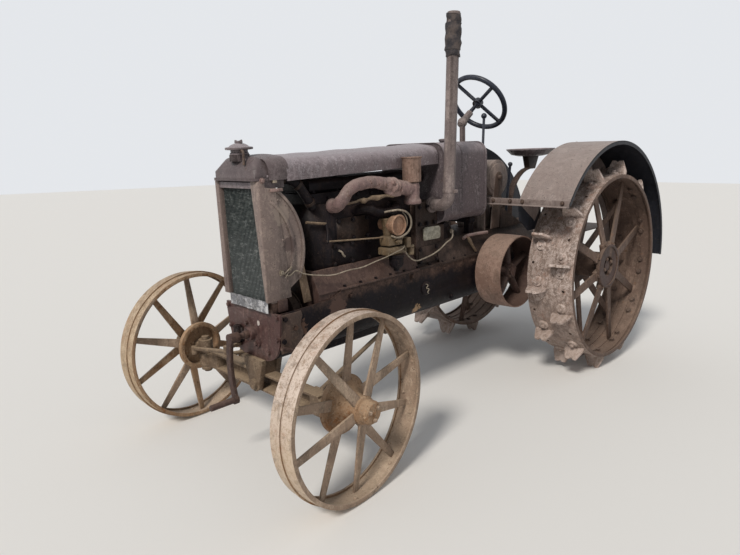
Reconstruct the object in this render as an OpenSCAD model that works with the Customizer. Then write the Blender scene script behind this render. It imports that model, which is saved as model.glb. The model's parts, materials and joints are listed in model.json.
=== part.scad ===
// Vintage farm tractor on spoked steel wheels, with a U-shaped plate frame.
// It is drawn level in tractor coordinates: the rear axle is at y = 0, forward is -Y, the
// tractor's left is +X, and z = 0 is where all four rims would touch. stand() then sets it
// on a hard floor, on its lugs' tips behind and its rims in front.

/* [Rear wheels] */
// Radius of the rear rim's tread
rear_rim_r = 610; // [560:5:640]
// Radius of the rear hub's flanges
rear_hub_r = 147; // [130:1:160]
// Spokes on each side of a rear wheel
rear_spoke_n = 8; // [8:1:8]
// Width of the rear rim
rear_rim_w = 304; // [240:4:320]
// Thickness of the rear rim's plate
rear_rim_t = 10; // [6:1:14]
// Half of the distance between the rear rims' middles
rear_track = 575; // [570:1:600]
// Height of a lug above the rim
lug_h = 92; // [60:2:94]
// Thickness of a lug's blade
lug_t = 14; // [8:1:20]
// Width of a lug's blade at the rim
lug_w = 128; // [90:2:136]
// Number of lugs in each of a wheel's two rows
lugs_per_row = 12; // [12:1:12]
// Radius of a rear axle shaft
rear_shaft_r = 42; // [34:1:46]

/* [Front wheels] */
// Radius of the front rim's tread
front_rim_r = 407; // [380:1:420]
// Width of the front rim
front_rim_w = 115; // [90:1:127]
// Thickness of the front rim's plate
front_rim_t = 9; // [6:1:12]
// Height of the guide band round the front rim
guide_h = 7; // [4:1:12]
// Distance between the rear and the front axle
wheelbase = 2354; // [2300:1:2400]
// Distance from the tractor's middle to a kingpin
kingpin_x = 540; // [530:1:560]
// Distance from a kingpin to the middle of its wheel
kingpin_offset = 116; // [110:1:125]
// Radius of a front spindle
spindle_r = 28; // [22:1:32]
// Angle at which the front wheels stand, towards the left
steer_rest = 6.2; // [0:0.2:10]

/* [Frame] */
// Half width of the U-shaped frame
frame_hw = 212; // [204:1:216]
// Thickness of the frame plate
plate_t = 8; // [5:1:10]
// Radius of the frame's lower corners, outside
frame_corner_r = 130; // [110:1:140]
// Height of the frame's underside
frame_z = 485; // [470:1:495]
// Height of the frame's top edge beside the engine
frame_top = 771; // [760:1:780]
// Height of the frame's top edge at the radiator
frame_front_top = 732; // [715:1:740]

/* [Hood and tank] */
// Half width of the hood
hood_hw = 200; // [190:1:206]
// Height of the hood's lower edge at its front
hood_z = 1327; // [1320:1:1340]
// Height of the hood's rounded side and top above its lower edge
hood_h = 112; // [100:1:125]
// Half width of the fuel tank
tank_hw = 240; // [225:1:250]
// Length of the fuel tank
tank_len = 414; // [380:1:420]
// Height of the fuel tank
tank_h = 456; // [430:1:470]

/* [Radiator] */
// Half width of the radiator core
core_hw = 158; // [145:1:162]
// Half width of the radiator with its side columns
radiator_hw = 178; // [170:1:185]
// Height of the top of the core
core_top = 1300; // [1290:1:1325]
// Height of the radiator's top tank above the core
top_tank_h = 150; // [120:1:160]

/* [Engine] */
// Half width of the cylinder block
block_hw = 150; // [140:1:155]
// Height of the top of the cylinder block
block_top = 1200; // [1180:1:1210]
// Height of the top of the valve cover
head_top = 1318; // [1300:1:1319]
// Radius of the exhaust manifold's pipe
manifold_r = 30; // [24:1:31]
// Radius of the exhaust stub
stub_r = 50; // [40:1:50]
// Radius of the air stack
stack_r = 33; // [26:1:36]
// Height of the air stack's top
stack_top = 2130; // [2000:5:2160]

/* [Fenders] */
// Radius of a fender's sheet
fender_r = 795; // [785:1:810]
// Place of the fenders' front edge, ahead of the rear axle
fender_reach = 713; // [700:1:725]
// Thickness of a fender's sheet
fender_t = 4; // [3:0.5:6]

/* [Belt pulley] */
// Radius of the belt pulley
pulley_r = 228; // [190:1:235]
// Width of the belt pulley's face
pulley_w = 180; // [140:1:184]

/* [Steering wheel] */
// Radius of the steering wheel's rim, to the middle of its section
steering_r = 208; // [190:1:225]

/* [Hidden] */

$fn = 72;
seat_gap = 0.3;      // gap between curved pieces that rest on each other
run_gap = 0.06;      // radial clearance of a shaft in its bore

// Stance: the lugs that straddle the lowest point carry the rear
lug_step = 360 / lugs_per_row;
lug_tip_r = rear_rim_r + lug_h;
stand_h = lug_tip_r * cos(lug_step / 4) + lug_t / 2 * sin(lug_step / 4);
axle_drop = rear_rim_r - front_rim_r;
pitch = asin((stand_h - front_rim_r - guide_h) / norm([wheelbase, axle_drop]))
        - atan2(axle_drop, wheelbase);
middle_y = 1017;      // how far the tractor is moved back, so that its middle is at y = 0

front_y = -wheelbase - 26;     // front face of the front plate
front_plate_t = 12;
radiator_y = front_y + 112;    // rear of the radiator
frame_rear_y = -160;
engine_y = [front_y + 250, -1400];
clutch_y = [engine_y[1], -1214];
deck_z = 905;        // top of the transmission cover
deck_hw = 170;       // half width of the transmission cover
crank_z = 608;       // height of the crankshaft
crank_r = 14;        // radius of the starting crank's shaft
fan_z = 1060;        // height of the fan's shaft
fan_shaft_r = 14;

// Fenders: centre in side view, inner and outer side, angle of the front edge
fender_at = [-62, 637];
fender_x = [416, 745];
skirt_x = fender_x[0] - 8;
fender_a = acos((-fender_reach - fender_at[0]) / fender_r);
fender_drop = 52;    // how far the rear edge lies below the fender's centre
fender_front_z = fender_at[1] + fender_r * sin(fender_a);
post_y = -fender_reach - seat_gap;      // rear face of the bar between the fenders

module stand() {
    translate([0, middle_y, stand_h]) rotate([pitch, 0, 0]) translate([0, 0, -rear_rim_r])
        children();
}

// A round rod from point a to point b
module rod(a, b, r) {
    d = b - a;
    translate(a) rotate([0, acos(d[2] / norm(d)), atan2(d[1], d[0])])
        cylinder(h = norm(d), r = r);
}

// Cylinders along X and along Y
module x_rod(x0, x1, r) {
    translate([x0, 0, 0]) rotate([0, 90, 0]) cylinder(h = x1 - x0, r = r);
}
module y_rod(y0, y1, r) {
    translate([0, y0, 0]) rotate([-90, 0, 0]) cylinder(h = y1 - y0, r = r);
}

// A side view in Y and Z made into a plate from x0 to x1
module side_plate(x0, x1) {
    translate([x0, 0, 0]) rotate([90, 0, 90]) linear_extrude(x1 - x0) children();
}
// A front view in X and Z made into a bar from y0 to y1
module front_bar(y0, y1) {
    translate([0, y1, 0]) rotate([90, 0, 0]) linear_extrude(y1 - y0) children();
}

// Points of an arc round c, from angle a to angle b
function arc(c, r, a, b, n) = [for (k = [0:n]) c + r * [cos(a + (b - a) * k / n),
                                                        sin(a + (b - a) * k / n)]];

// A bent pipe: rods of radius r through the points, with a swelling at each bend
module pipe(points, r, swell) {
    for (k = [1:len(points) - 1]) rod(points[k - 1], points[k], r);
    if (len(points) > 2) for (k = [1:len(points) - 2]) translate(points[k]) sphere(r + swell);
}

module rounded_square(w, h, r) {
    translate([-w / 2 + r, r]) square([w - 2 * r, h - 2 * r]);
    translate([-w / 2, r]) square([w, h - 2 * r]);
    translate([-w / 2 + r, 0]) square([w - 2 * r, h]);
    for (x = [-1, 1], y = [r, h - r]) translate([x * (w / 2 - r), y]) circle(r);
}

// Front view of the U frame's outside, less a wall, up to a height
module u_section(inset, top) {
    hw = frame_hw - inset;
    r = frame_corner_r - inset;
    z = frame_z + inset;
    intersection() {
        union() {
            translate([-hw, z + r]) square([2 * hw, top - z - r]);
            translate([-hw + r, z]) square([2 * (hw - r), r + 1]);
            for (s = [-1, 1]) translate([s * (hw - r), z + r]) circle(r);
        }
        translate([-hw, z]) square([2 * hw, top - z]);
    }
}

module frame_pan() {
    step_y = front_y + 395;      // where the top edge steps down towards the front
    color("#2b2622") difference() {
        front_bar(front_y + front_plate_t, frame_rear_y) difference() {
            u_section(0, frame_top);
            u_section(plate_t, frame_top + 1);
        }
        side_plate(-frame_hw - 1, frame_hw + 1) polygon([
            [front_y - 1, frame_front_top], [front_y + 90, frame_front_top],
            [step_y - 75, frame_front_top + 8], [step_y, frame_top], [step_y, frame_top + 1],
            [front_y - 1, frame_top + 1]]);
        translate([0, pulley_at[0], pulley_at[1]]) x_rod(0, frame_hw + 1, drive_r + seat_gap);
    }
}

plate_lip = 14;      // how far the front plate's upper corners stand past the frame
bearing_y = front_y - 34;
module front_plate() {
    color("#5a3a33") difference() {
        union() {
            front_bar(front_y, front_y + front_plate_t) {
                u_section(0, frame_front_top);
                polygon([[-frame_hw, crank_z], [-frame_hw - plate_lip, frame_front_top - 40],
                    [-frame_hw - plate_lip, frame_front_top], [frame_hw + plate_lip, frame_front_top],
                    [frame_hw + plate_lip, frame_front_top - 40], [frame_hw, crank_z]]);
            }
            // Bearing of the starting crank, with a bolted ear above it and one below
            translate([0, 0, crank_z]) {
                y_rod(bearing_y, front_y, 34);
                front_bar(front_y - 12, front_y) {
                    rotate(38) translate([-22, -58]) square([44, 116]);
                    for (s = [-1, 1]) rotate(38) translate([0, s * 58]) circle(22);
                }
            }
        }
        translate([0, 0, crank_z]) y_rod(bearing_y - 1, front_y + 20, crank_r + run_gap);
    }
}

module oil_sump() {
    color("#2b2622") {
        front_bar(engine_y[0] + 70, engine_y[1] - 120)
            translate([0, frame_z - 60]) rounded_square(150, 60, 18);
        translate([0, (engine_y[0] + engine_y[1]) / 2, frame_z - 72]) cylinder(h = 14, r = 20);
    }
}

flange_t = 12;       // flanges that lie on the frame's top edges
module edge_flange(y0, y1) {
    front_bar(y0, y1) for (s = [-1, 1])
        translate([s > 0 ? frame_hw - 30 : -frame_hw - 6, frame_top]) square([36, flange_t]);
}
module crankcase() {
    color("#4b3a31") {
        front_bar(engine_y[0], engine_y[1]) polygon([
            [-frame_hw + 1, frame_top], [-block_hw - 12, 868], [-block_hw - 12, 882],
            [block_hw + 12, 882], [block_hw + 12, 868], [frame_hw - 1, frame_top]]);
        front_bar(engine_y[0], engine_y[1]) u_section(plate_t + 1, frame_top);
        edge_flange(engine_y[0] + 130, engine_y[1]);
    }
}

module cylinder_block() {
    nose_y = engine_y[0] - 15;
    color("#1f1c1a") difference() {
        union() {
            front_bar(engine_y[0] + 18, engine_y[1]) translate([-block_hw, 882])
                square([2 * block_hw, block_top - 882]);
            translate([0, 0, fan_z]) y_rod(nose_y, engine_y[0] + 30, 34);
            // Side covers on both sides: from y, to y, from z, to z, how far they stand out
            for (s = [-1, 1], c = [[-1990, -1724, 884, 994, 6], [-1955, -1735, 1000, 1118, 10]])
                side_plate(s > 0 ? block_hw - 1 : -block_hw - c[4],
                           s > 0 ? block_hw + c[4] : -block_hw + 1)
                    translate([c[0], c[2]]) square([c[1] - c[0], c[3] - c[2]]);
        }
        translate([0, 0, fan_z]) y_rod(nose_y - 1, engine_y[0] + 60, fan_shaft_r + run_gap);
    }
}

module cylinder_head() {
    color("#2b2521") {
        front_bar(engine_y[0] + 18, engine_y[1]) translate([0, block_top])
            rounded_square(2 * block_hw - 10, 52, 4);
        front_bar(engine_y[0] + 40, clutch_y[1] - 40) translate([0, block_top + 50])
            rounded_square(2 * block_hw - 40, head_top - block_top - 50, 26);
    }
}

clutch_hw = 190;
clutch_top = 1145;
module clutch_housing() {
    color("#2b2521") difference() {
        union() {
            front_bar(clutch_y[0], clutch_y[1]) translate([-clutch_hw, frame_top])
                square([2 * clutch_hw, clutch_top - frame_top]);
            front_bar(clutch_y[1] - 1, -1150) translate([-clutch_hw, deck_z])
                square([2 * clutch_hw, 95]);
            edge_flange(clutch_y[0], clutch_y[1]);
            for (s = [-1, 1]) {
                // A plain plate, and the cover below it
                side_plate(s > 0 ? clutch_hw : -clutch_hw - 4, s > 0 ? clutch_hw + 4 : -clutch_hw)
                    translate([-1348, 930]) square([150, 70]);
                side_plate(s > 0 ? clutch_hw : -clutch_hw - 8, s > 0 ? clutch_hw + 8 : -clutch_hw)
                    translate([-1385, 800]) square([160, 92]);
            }
        }
        for (s = [-1, 1])
            side_plate(s > 0 ? clutch_hw - 6 : -clutch_hw - 1, s > 0 ? clutch_hw + 1 : 6 - clutch_hw)
                translate([-1383, 1012]) square([155, 98]);
    }
}

module transmission() {
    color("#3b322c") {
        front_bar(clutch_y[1], frame_rear_y) polygon([
            [-frame_hw + 1, frame_top], [-deck_hw, deck_z], [deck_hw, deck_z],
            [frame_hw - 1, frame_top]]);
        difference() {
            front_bar(clutch_y[1], frame_rear_y) u_section(plate_t + 1, frame_top);
            translate([0, pulley_at[0], pulley_at[1]]) x_rod(60, frame_hw + 1, drive_r + seat_gap);
        }
        edge_flange(clutch_y[1], frame_rear_y);
        // Slanted cover of the shift gear, on the left
        side_plate(deck_hw - 60, deck_hw + 22) polygon([
            [-572, deck_z], [-564, 1040], [-420, 968], [-300, deck_z]]);
    }
}

housing_end = rear_track - rear_rim_w / 2 - 25;      // outer end of an axle housing
module rear_axle() {
    color("#3b322c") difference() {
        union() {
            side_plate(-frame_hw, frame_hw) polygon([
                [frame_rear_y, 470], [120, 470], [190, 540], [190, 740], [130, 800],
                [frame_rear_y, 800]]);
            for (s = [-1, 1]) translate([s * frame_hw, 0, rear_rim_r]) rotate([0, s * 90, 0]) {
                cylinder(h = housing_end - frame_hw, r1 = 125, r2 = 92);
                cylinder(h = 16, r = 150);
            }
        }
        for (s = [-1, 1]) translate([0, 0, rear_rim_r])
            x_rod(s > 0 ? 300 : -housing_end - 1, s > 0 ? housing_end + 1 : -300,
                  rear_shaft_r + run_gap);
    }
}

manifold_x = 244;
stub_x = hood_hw + stub_r + 8;
stub_y = -1500;
stub_z = 1270;

// Places between the manifold's front end and the stub, as shares of the way
manifold_front = engine_y[0] + 124;
function manifold_y(share) = manifold_front + share * (stub_y - manifold_front);
module exhaust_manifold() {
    x = manifold_x;
    color("#8a5a42") {
        pipe([[block_hw, manifold_front, 1190], [block_hw + 40, manifold_front, 1190],
              [x, manifold_y(0.03), 1211], [x, manifold_y(0.16), 1265], [x, manifold_y(0.3), 1276],
              [x, manifold_y(0.61), 1260], [stub_x, stub_y, 1226]], manifold_r, 2);
        pipe([[stub_x, stub_y, 1222], [212, stub_y + 66, 1236], [block_hw + 36, stub_y + 72, 1205],
              [block_hw, stub_y + 72, 1205]], manifold_r - 8, 2);
        // Bolted flange, rough with rust
        translate([x + 1, manifold_y(0.7), 1261]) rotate([0, 45, 0]) cube([78, 26, 78], center = true);
        translate([stub_x, stub_y, 1178]) cylinder(h = stub_z - 1178, r = 42);
        translate([stub_x, stub_y, 1156]) cylinder(h = 24, r = 46);
    }
}

module exhaust_stub() {
    color("#7a4c3a") translate([stub_x, stub_y, stub_z]) difference() {
        cylinder(h = 128, r = stub_r);
        translate([0, 0, 12]) cylinder(h = 128, r = stub_r - 5);
    }
}

carb_at = [215, -1645];
carb_flange_z = 1094;
module intake_manifold() {
    color("#4a3a32") {
        pipe([[block_hw, -1822, 1150], [block_hw + 36, -1822, 1150], [218, -1806, 1162],
              [carb_at[0], -1712, 1130], [carb_at[0], -1624, 1126], [212, -1580, 1150],
              [block_hw + 36, -1560, 1150], [block_hw, -1560, 1150]], 23, 1);
        translate([carb_at[0], carb_at[1], carb_flange_z]) cylinder(h = 30, r = 30);
    }
}

module carburettor() {
    bowl = [252, -1631];
    color("#a06a48") {
        // Air bell, towards the left
        translate([0, carb_at[1], 1060]) {
            translate([0, 0, -4]) x_rod(170, 250, 34);
            x_rod(248, 284, 48);
            x_rod(282, 296, 54);
            x_rod(290, 300, 40);
        }
        translate([carb_at[0], carb_at[1], 880]) cylinder(h = carb_flange_z - 880, r = 27);
        translate([carb_at[0], carb_at[1], carb_flange_z - 8]) cylinder(h = 8, r = 40);
        translate([196, -1704, 905]) cube([74, 134, 36]);
        translate([202, -1690, 950]) cube([62, 96, 44]);
        translate([0, carb_at[1], 950]) x_rod(block_hw, 230, 26);
        translate([252, 0, 0]) rod([0, -1600, 925], [0, -1518, 903], 13);
        translate([252, -1518, 885]) cylinder(h = 34, r = 19);
        translate([bowl[0], bowl[1], 830]) cylinder(h = 66, r = 38);
        translate([bowl[0], bowl[1], 890]) cylinder(h = 10, r = 43);
        translate([bowl[0], bowl[1], 812]) cylinder(h = 20, r1 = 12, r2 = 30);
    }
}

stack_x = 318;
stack_y = -1265;
stack_lean = 3.4;    // degrees, towards the rear
wrap_z = 1912;       // where the rags round its top begin
module air_stack() {
    bend = 62;
    up = 1125 + bend;
    color("#6b5a4d") translate([stack_x, stack_y, 0]) {
        translate([0, 0, up]) rotate([-stack_lean, 0, 0]) {
            cylinder(h = (stack_top - up) / cos(stack_lean), r = stack_r);
            translate([0, 0, wrap_z - up]) cylinder(h = stack_top - wrap_z - 6, r = stack_r + 4);
        }
        translate([0, 0, up]) sphere(stack_r + 0.5);
        translate([-bend, 0, up]) rotate([90, 90, 0])
            rotate_extrude(angle = 90) translate([bend, 0]) circle(stack_r);
        translate([0, 0, 1125]) x_rod(clutch_hw + 10 - stack_x, -bend, stack_r);
        translate([0, 0, 1125]) x_rod(clutch_hw - stack_x, clutch_hw + 14 - stack_x, stack_r + 12);
    }
}

module crank_pulley() {
    color("#6d6257") translate([0, 0, crank_z + 53]) {
        y_rod(engine_y[0] - 85, engine_y[0] - 78, 118);
        y_rod(engine_y[0] - 80, engine_y[0] - 34, 108);
        y_rod(engine_y[0] - 36, engine_y[0] - 30, 118);
        y_rod(engine_y[0] - 34, engine_y[0], 30);
    }
}

core_y = [front_y - 5, front_y + 70];
module radiator_core() {
    tubes = 26;      // upright tubes that show in the front
    step = (2 * core_hw - 16) / tubes;
    color("#2f332c") translate([0, 0, 780]) linear_extrude(core_top - 780) {
        translate([-core_hw, core_y[0] + 3]) square([2 * core_hw, core_y[1] - core_y[0] - 3]);
        for (k = [0:tubes - 1]) translate([-core_hw + 8 + step * (k + 0.25), core_y[0]])
            square([step / 2, 4]);
        for (s = [-1, 1]) translate([s > 0 ? core_hw - 6 : -core_hw, core_y[0]]) square([6, 5]);
    }
}

strip_h = 35;        // bare header strip between the core and the tank
neck_at = [0, front_y + 5];
neck_z = core_top + top_tank_h;
module radiator_tank() {
    tank_hw = radiator_hw - 4;
    front = front_y - 40;
    shoulder_r = 42;
    color("#5b4a40") {
        front_bar(core_y[0] - 6, radiator_y) translate([-tank_hw, core_top])
            square([2 * tank_hw, strip_h]);
        hull() {
            for (s = [-1, 1]) {
                translate([s * (tank_hw - 34), front + 34, core_top + strip_h])
                    cylinder(h = 40, r = 34, $fn = 32);
                translate([s * tank_hw - (s > 0 ? 8 : 0), radiator_y - 10, core_top + strip_h])
                    cube([8, 10, 30]);
                translate([s * 100, front + 20 + shoulder_r, core_top + 96])
                    sphere(shoulder_r, $fn = 32);
                translate([s * 112 - 10, radiator_y - 10, core_top + 60]) cube([20, 10, 54]);
            }
            translate([-30, radiator_y - 60, core_top + 100]) cube([60, 60, 43]);
        }
        // Seam flange round the tank's foot
        hull() for (s = [-1, 1]) {
            translate([s * (tank_hw - 28), front + 28, core_top + strip_h])
                cylinder(h = 12, r = 34, $fn = 32);
            translate([s * (tank_hw + 4) - (s > 0 ? 8 : 0), radiator_y - 10, core_top + strip_h])
                cube([8, 10, 12]);
        }
        translate([neck_at[0], neck_at[1], neck_z - 30]) cylinder(h = 30, r = 46);
    }
}

module radiator_base() {
    color("#8b8a84") front_bar(front_y + 1, front_y + 78)
        translate([-radiator_hw, frame_front_top]) square([2 * radiator_hw, 780 - frame_front_top]);
}

module radiator_cap() {
    color("#5b4a40") translate([neck_at[0], neck_at[1], neck_z]) {
        cylinder(h = 22, r = 40);
        translate([0, 0, 22]) cylinder(h = 10, r = 60);
        translate([0, 0, 32]) cylinder(h = 14, r1 = 50, r2 = 30);
        translate([0, 0, 46]) cylinder(h = 14, r = 11);
        translate([-26, -5, 48]) cube([52, 10, 15]);
    }
}

// Side view of a shroud's sheet, in over the core and back round the fan
shroud_c = [front_y - 133, 1025];
shroud_r = 337;
function shroud_outline() = concat(
    [[front_y, 780], [front_y + 77, 780], [front_y + 97, 827]],
    arc(shroud_c, shroud_r, -27, 54, 14), [[front_y + 64, core_top], [front_y, core_top]]);
module fan_shroud() {
    color("#6a5446") for (s = [-1, 1]) {
        side_plate(s > 0 ? core_hw : -radiator_hw, s > 0 ? radiator_hw : -core_hw)
            polygon(shroud_outline());
        // Two raised bands that follow the rear edge: inner radius, outer radius
        side_plate(s > 0 ? radiator_hw : -radiator_hw - 7, s > 0 ? radiator_hw + 7 : -radiator_hw)
            for (band = [[262, 276], [shroud_r - 15, shroud_r - 2]]) polygon(concat(
                arc(shroud_c, band[0], -27, 54, 14), arc(shroud_c, band[1], 54, -27, 14)));
    }
}

module fan() {
    hub_y = front_y + 90;
    color("#3a3430") translate([0, 0, fan_z]) {
        y_rod(hub_y, engine_y[0] + 50, fan_shaft_r);
        y_rod(hub_y, hub_y + 60, 30);
        y_rod(hub_y + 90, hub_y + 135, 60);
        for (k = [0:3]) rotate([0, 90 * k + 20, 0])
            translate([15, hub_y + 10, -35]) rotate([25, 0, 0]) cube([125, 4, 60]);
    }
}

hood_t = 3;
hood_y = [radiator_y, -1212];
hood_slope = 1.3;    // degrees that the hood rises towards the tank
// Front view of the hood, less a wall: upright sides, round shoulders and a low crown
module hood_section(inset) {
    hw = hood_hw - inset;
    shoulder = 60 - inset;
    crown = 12;
    half = hw - shoulder;
    crown_r = (half * half + crown * crown) / (2 * crown);
    top = hood_h - inset;
    polygon(concat(
        [[hw, -1]], arc([half, top - crown - shoulder], shoulder, 0, 84, 8),
        arc([0, top - crown_r], crown_r, 90 - asin(half / crown_r), 90 + asin(half / crown_r), 16),
        arc([-half, top - crown - shoulder], shoulder, 96, 180, 8), [[-hw, -1]]));
}
module hood() {
    color("#65574b") intersection() {
        translate([0, hood_y[0], hood_z]) rotate([hood_slope, 0, 0])
            front_bar(-20, hood_y[1] - hood_y[0] + 20) difference() {
                hood_section(0);
                hood_section(hood_t);
                translate([-300, -300]) square([600, 300]);
            }
        translate([-300, hood_y[0] + seat_gap, hood_z - 120])
            cube([600, hood_y[1] - hood_y[0] - 2 * seat_gap, 400]);
    }
}

tank_z = 1006;
module fuel_tank() {
    seam = 6;        // rolled seams at both ends
    color("#64564a") {
        front_bar(hood_y[1] + 8, hood_y[1] + tank_len - 8)
            translate([0, tank_z + seam]) rounded_square(2 * tank_hw, tank_h - seam, 70);
        for (y = [hood_y[1], hood_y[1] + tank_len - 14]) front_bar(y, y + 14)
            translate([0, tank_z]) rounded_square(2 * (tank_hw + seam), tank_h + seam, 76);
        translate([0, hood_y[1] + 150, tank_z + tank_h - 1]) cylinder(h = 26, r = 42);
    }
}

module tank_bearers() {
    color("#2b2622") for (y = [hood_y[1] + 72, hood_y[1] + 330])
        front_bar(y, y + 50) {
            translate([-180, tank_z - 31]) square([360, 31]);
            for (s = [-1, 1]) translate([s * 150 - 20, deck_z]) square([40, tank_z - deck_z - 30]);
        }
    // The bearers' tops meet the tank's body through packing strips
    color("#2b2622") for (y = [hood_y[1] + 72, hood_y[1] + 330])
        translate([-150, y, tank_z - 1]) cube([300, 50, 7]);
}

drum_r = 115;
drum_at = [post_y + 116.5, 1230];
module dash_drum() {
    color("#64564a") {
        translate([0, drum_at[0], drum_at[1]]) {
            x_rod(-186, 186, drum_r);
            for (s = [-1, 1]) x_rod(s > 0 ? 178 : -192, s > 0 ? 192 : -178, drum_r - 22);
        }
        translate([-100, drum_at[0] - 50, deck_z]) cube([200, 100, drum_at[1] - deck_z]);
        // Strap across the drum's left end, rounded at its top
        side_plate(186, 196) {
            polygon([[drum_at[0] - 82, deck_z + 8], [drum_at[0] + 8, deck_z + 8],
                     [drum_at[0] + 45, drum_at[1]], [drum_at[0] - 38, drum_at[1]]]);
            translate([drum_at[0] + 3.5, drum_at[1]]) circle(41.5);
        }
        translate([0, drum_at[0] + 3, drum_at[1] + 4]) x_rod(190, 212, 13);
    }
    color("#3b322c") for (x = [-168, 112]) translate([x, post_y, deck_z])
        cube([56, 12, drum_at[1] - drum_r - deck_z - 6]);
}

wheel_tilt = 54;     // tilt of the steering wheel's shaft from upright
post_x = -frame_hw - 43;      // the steering post stands beside the frame
steering_head = [post_x, -379, 1597];
steering_shaft = 233;
steering_at = steering_head + steering_shaft * [0, sin(wheel_tilt), cos(wheel_tilt)];

module steering_post() {
    color("#3a3f47") difference() {
        union() {
            rod([post_x, -379, 690], [post_x, -379, steering_head[2] - 1], 20);
            translate([post_x, -379, 720]) x_rod(-20, -frame_hw - post_x, 30);
            translate([post_x, -379, 905]) cylinder(h = 26, r = 30);
            translate(steering_head) sphere(34);
            translate(steering_head) rotate([-wheel_tilt, 0, 0])
                translate([0, 0, -30]) cylinder(h = 140, r = 24);
        }
        translate(steering_head) rotate([-wheel_tilt, 0, 0])
            translate([0, 0, 30]) cylinder(h = 100, r = 12 + run_gap);
    }
}

module steering_wheel() {
    color("#272c38") translate(steering_at) rotate([-wheel_tilt, 0, 0]) {
        rotate_extrude() translate([steering_r, 0]) circle(18);
        for (k = [0:3]) rotate([0, 0, 90 * k + 56]) translate([30, 0, -3]) x_rod(0, steering_r - 42, 13);
        translate([0, 0, -25]) cylinder(h = 40, r = 34);
        translate([0, 0, -200]) cylinder(h = 190, r = 12);
    }
}

module levers() {
    // Each lever is turned in one piece: foot, top, radius of its knob
    rod_r = 9;
    foot_r = 22;
    flat_at = 66;
    color("#272c38") for (l = [[[-60, -440, deck_z], [-100, -340, 1632], 20],
                               [[70, -330, deck_z], [86, -296, 1302], 16]]) {
        lean = l[1] - l[0];
        length = norm(lean);
        tilt = acos(lean[2] / length);
        low = foot_r * tan(tilt) + 0.3;
        translate(l[0]) rotate([0, tilt, atan2(lean[1], lean[0])])
            rotate_extrude() polygon(concat(
                [[0, low], [foot_r, low], [foot_r, low + 22], [rod_r, low + 30]],
                arc([0, length], l[2], -90 + asin(rod_r / l[2]), flat_at, 6),
                [[0, length + l[2] * sin(flat_at)]]));
    }
}

module platform() {
    color("#4b4038") translate([-skirt_x, -150, 800]) cube([2 * skirt_x, 750, 6]);
}

seat_at = [post_x + 30, 482, 1329.8];
seat_r = 190;
module seat() {
    color("#5b4a40") translate(seat_at) rotate_extrude() polygon([
        [0, 0], [95, 0], [150, 12], [seat_r, 50], [seat_r, 58], [seat_r - 7, 58],
        [147, 20], [93, 6], [0, 6]]);
}

module seat_spring() {
    x = seat_at[0];
    // A leaf that rises from the platform and curls back under the seat's bracket
    color("#3b322c") side_plate(x - 25, x + 25) polygon(concat(
        [[120, 812], [120, 806], [190, 806]], arc([470, 950], 280, 180, 95, 8),
        [[520, 1229], [572, 1329.5], [404, 1329.5]], arc([470, 950], 292, 97, 180, 8),
        [[178, 812]]));
}

module drawbar() {
    color("#3b322c") difference() {
        translate([-45, 190.3, 560]) cube([90, 550, 26]);
        translate([0, 700, 550]) cylinder(h = 50, r = 15);
    }
}

module fender() {
    // Each part: its two sides in x, its inner radius
    color("#5f5348") translate([0, fender_at[0], fender_at[1]])
        for (p = [[fender_x[0], fender_x[1], fender_r - fender_t], [skirt_x, fender_x[0], 560],
                  [fender_x[1] - fender_t, fender_x[1], fender_r - 22]])
            side_plate(p[0], p[1]) difference() {
                circle(fender_r, $fn = 120);
                circle(p[2], $fn = 120);
                translate([-1000, -1000]) square([2000, 1000 - fender_drop]);
                rotate(fender_a) translate([-1000, 0]) square([2000, 1000]);
            }
}
module fender_left() { fender(); }
module fender_right() { mirror([1, 0, 0]) fender(); }

module fender_bar() {
    y = post_y - 8;
    z = fender_front_z - 16;
    color("#4b4038") for (s = [-1, 1]) {
        translate([s > 0 ? 112 : -fender_x[1], y, z]) cube([fender_x[1] - 112, 8, 40]);
        translate([s > 0 ? 112 : -fender_x[1], y - 30, z]) cube([fender_x[1] - 112, 31, 6]);
    }
}

axle_z = [308, 405];     // the beam's lower and upper faces
eye_top = 378;           // top of the beam's end eyes
beam_y = [-20, 44];      // the beam's front and rear, from the kingpins' line

module front_axle() {
    web = 10;
    lip = 13;
    beam_end = kingpin_x - 80;
    color("#55463b") difference() {
        union() {
            translate([0, -wheelbase, 0]) side_plate(-beam_end, beam_end) polygon([
                [beam_y[0], axle_z[0]], [beam_y[1], axle_z[0]], [beam_y[1], axle_z[1]],
                [beam_y[0], axle_z[1]], [beam_y[0], axle_z[1] - lip],
                [beam_y[1] - web, axle_z[1] - lip - 5], [beam_y[1] - web, axle_z[0] + lip + 5],
                [beam_y[0], axle_z[0] + lip]]);
            // Ends: a taper from the beam down to the kingpin's eye
            for (s = [-1, 1]) {
                translate([0, -wheelbase, 0]) front_bar(-20, 34) polygon([
                    [s * (beam_end - 60), axle_z[0]], [s * kingpin_x, axle_z[0]],
                    [s * kingpin_x, eye_top], [s * (beam_end + 25), eye_top],
                    [s * (beam_end - 20), axle_z[1]], [s * (beam_end - 60), axle_z[1]]]);
                translate([s * kingpin_x, -wheelbase, axle_z[0]])
                    cylinder(h = eye_top - axle_z[0], r = 42);
            }
        }
        for (s = [-1, 1]) translate([s * kingpin_x, -wheelbase, axle_z[0] - 1])
            cylinder(h = 100, r = 20 + run_gap);
    }
}

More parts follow.
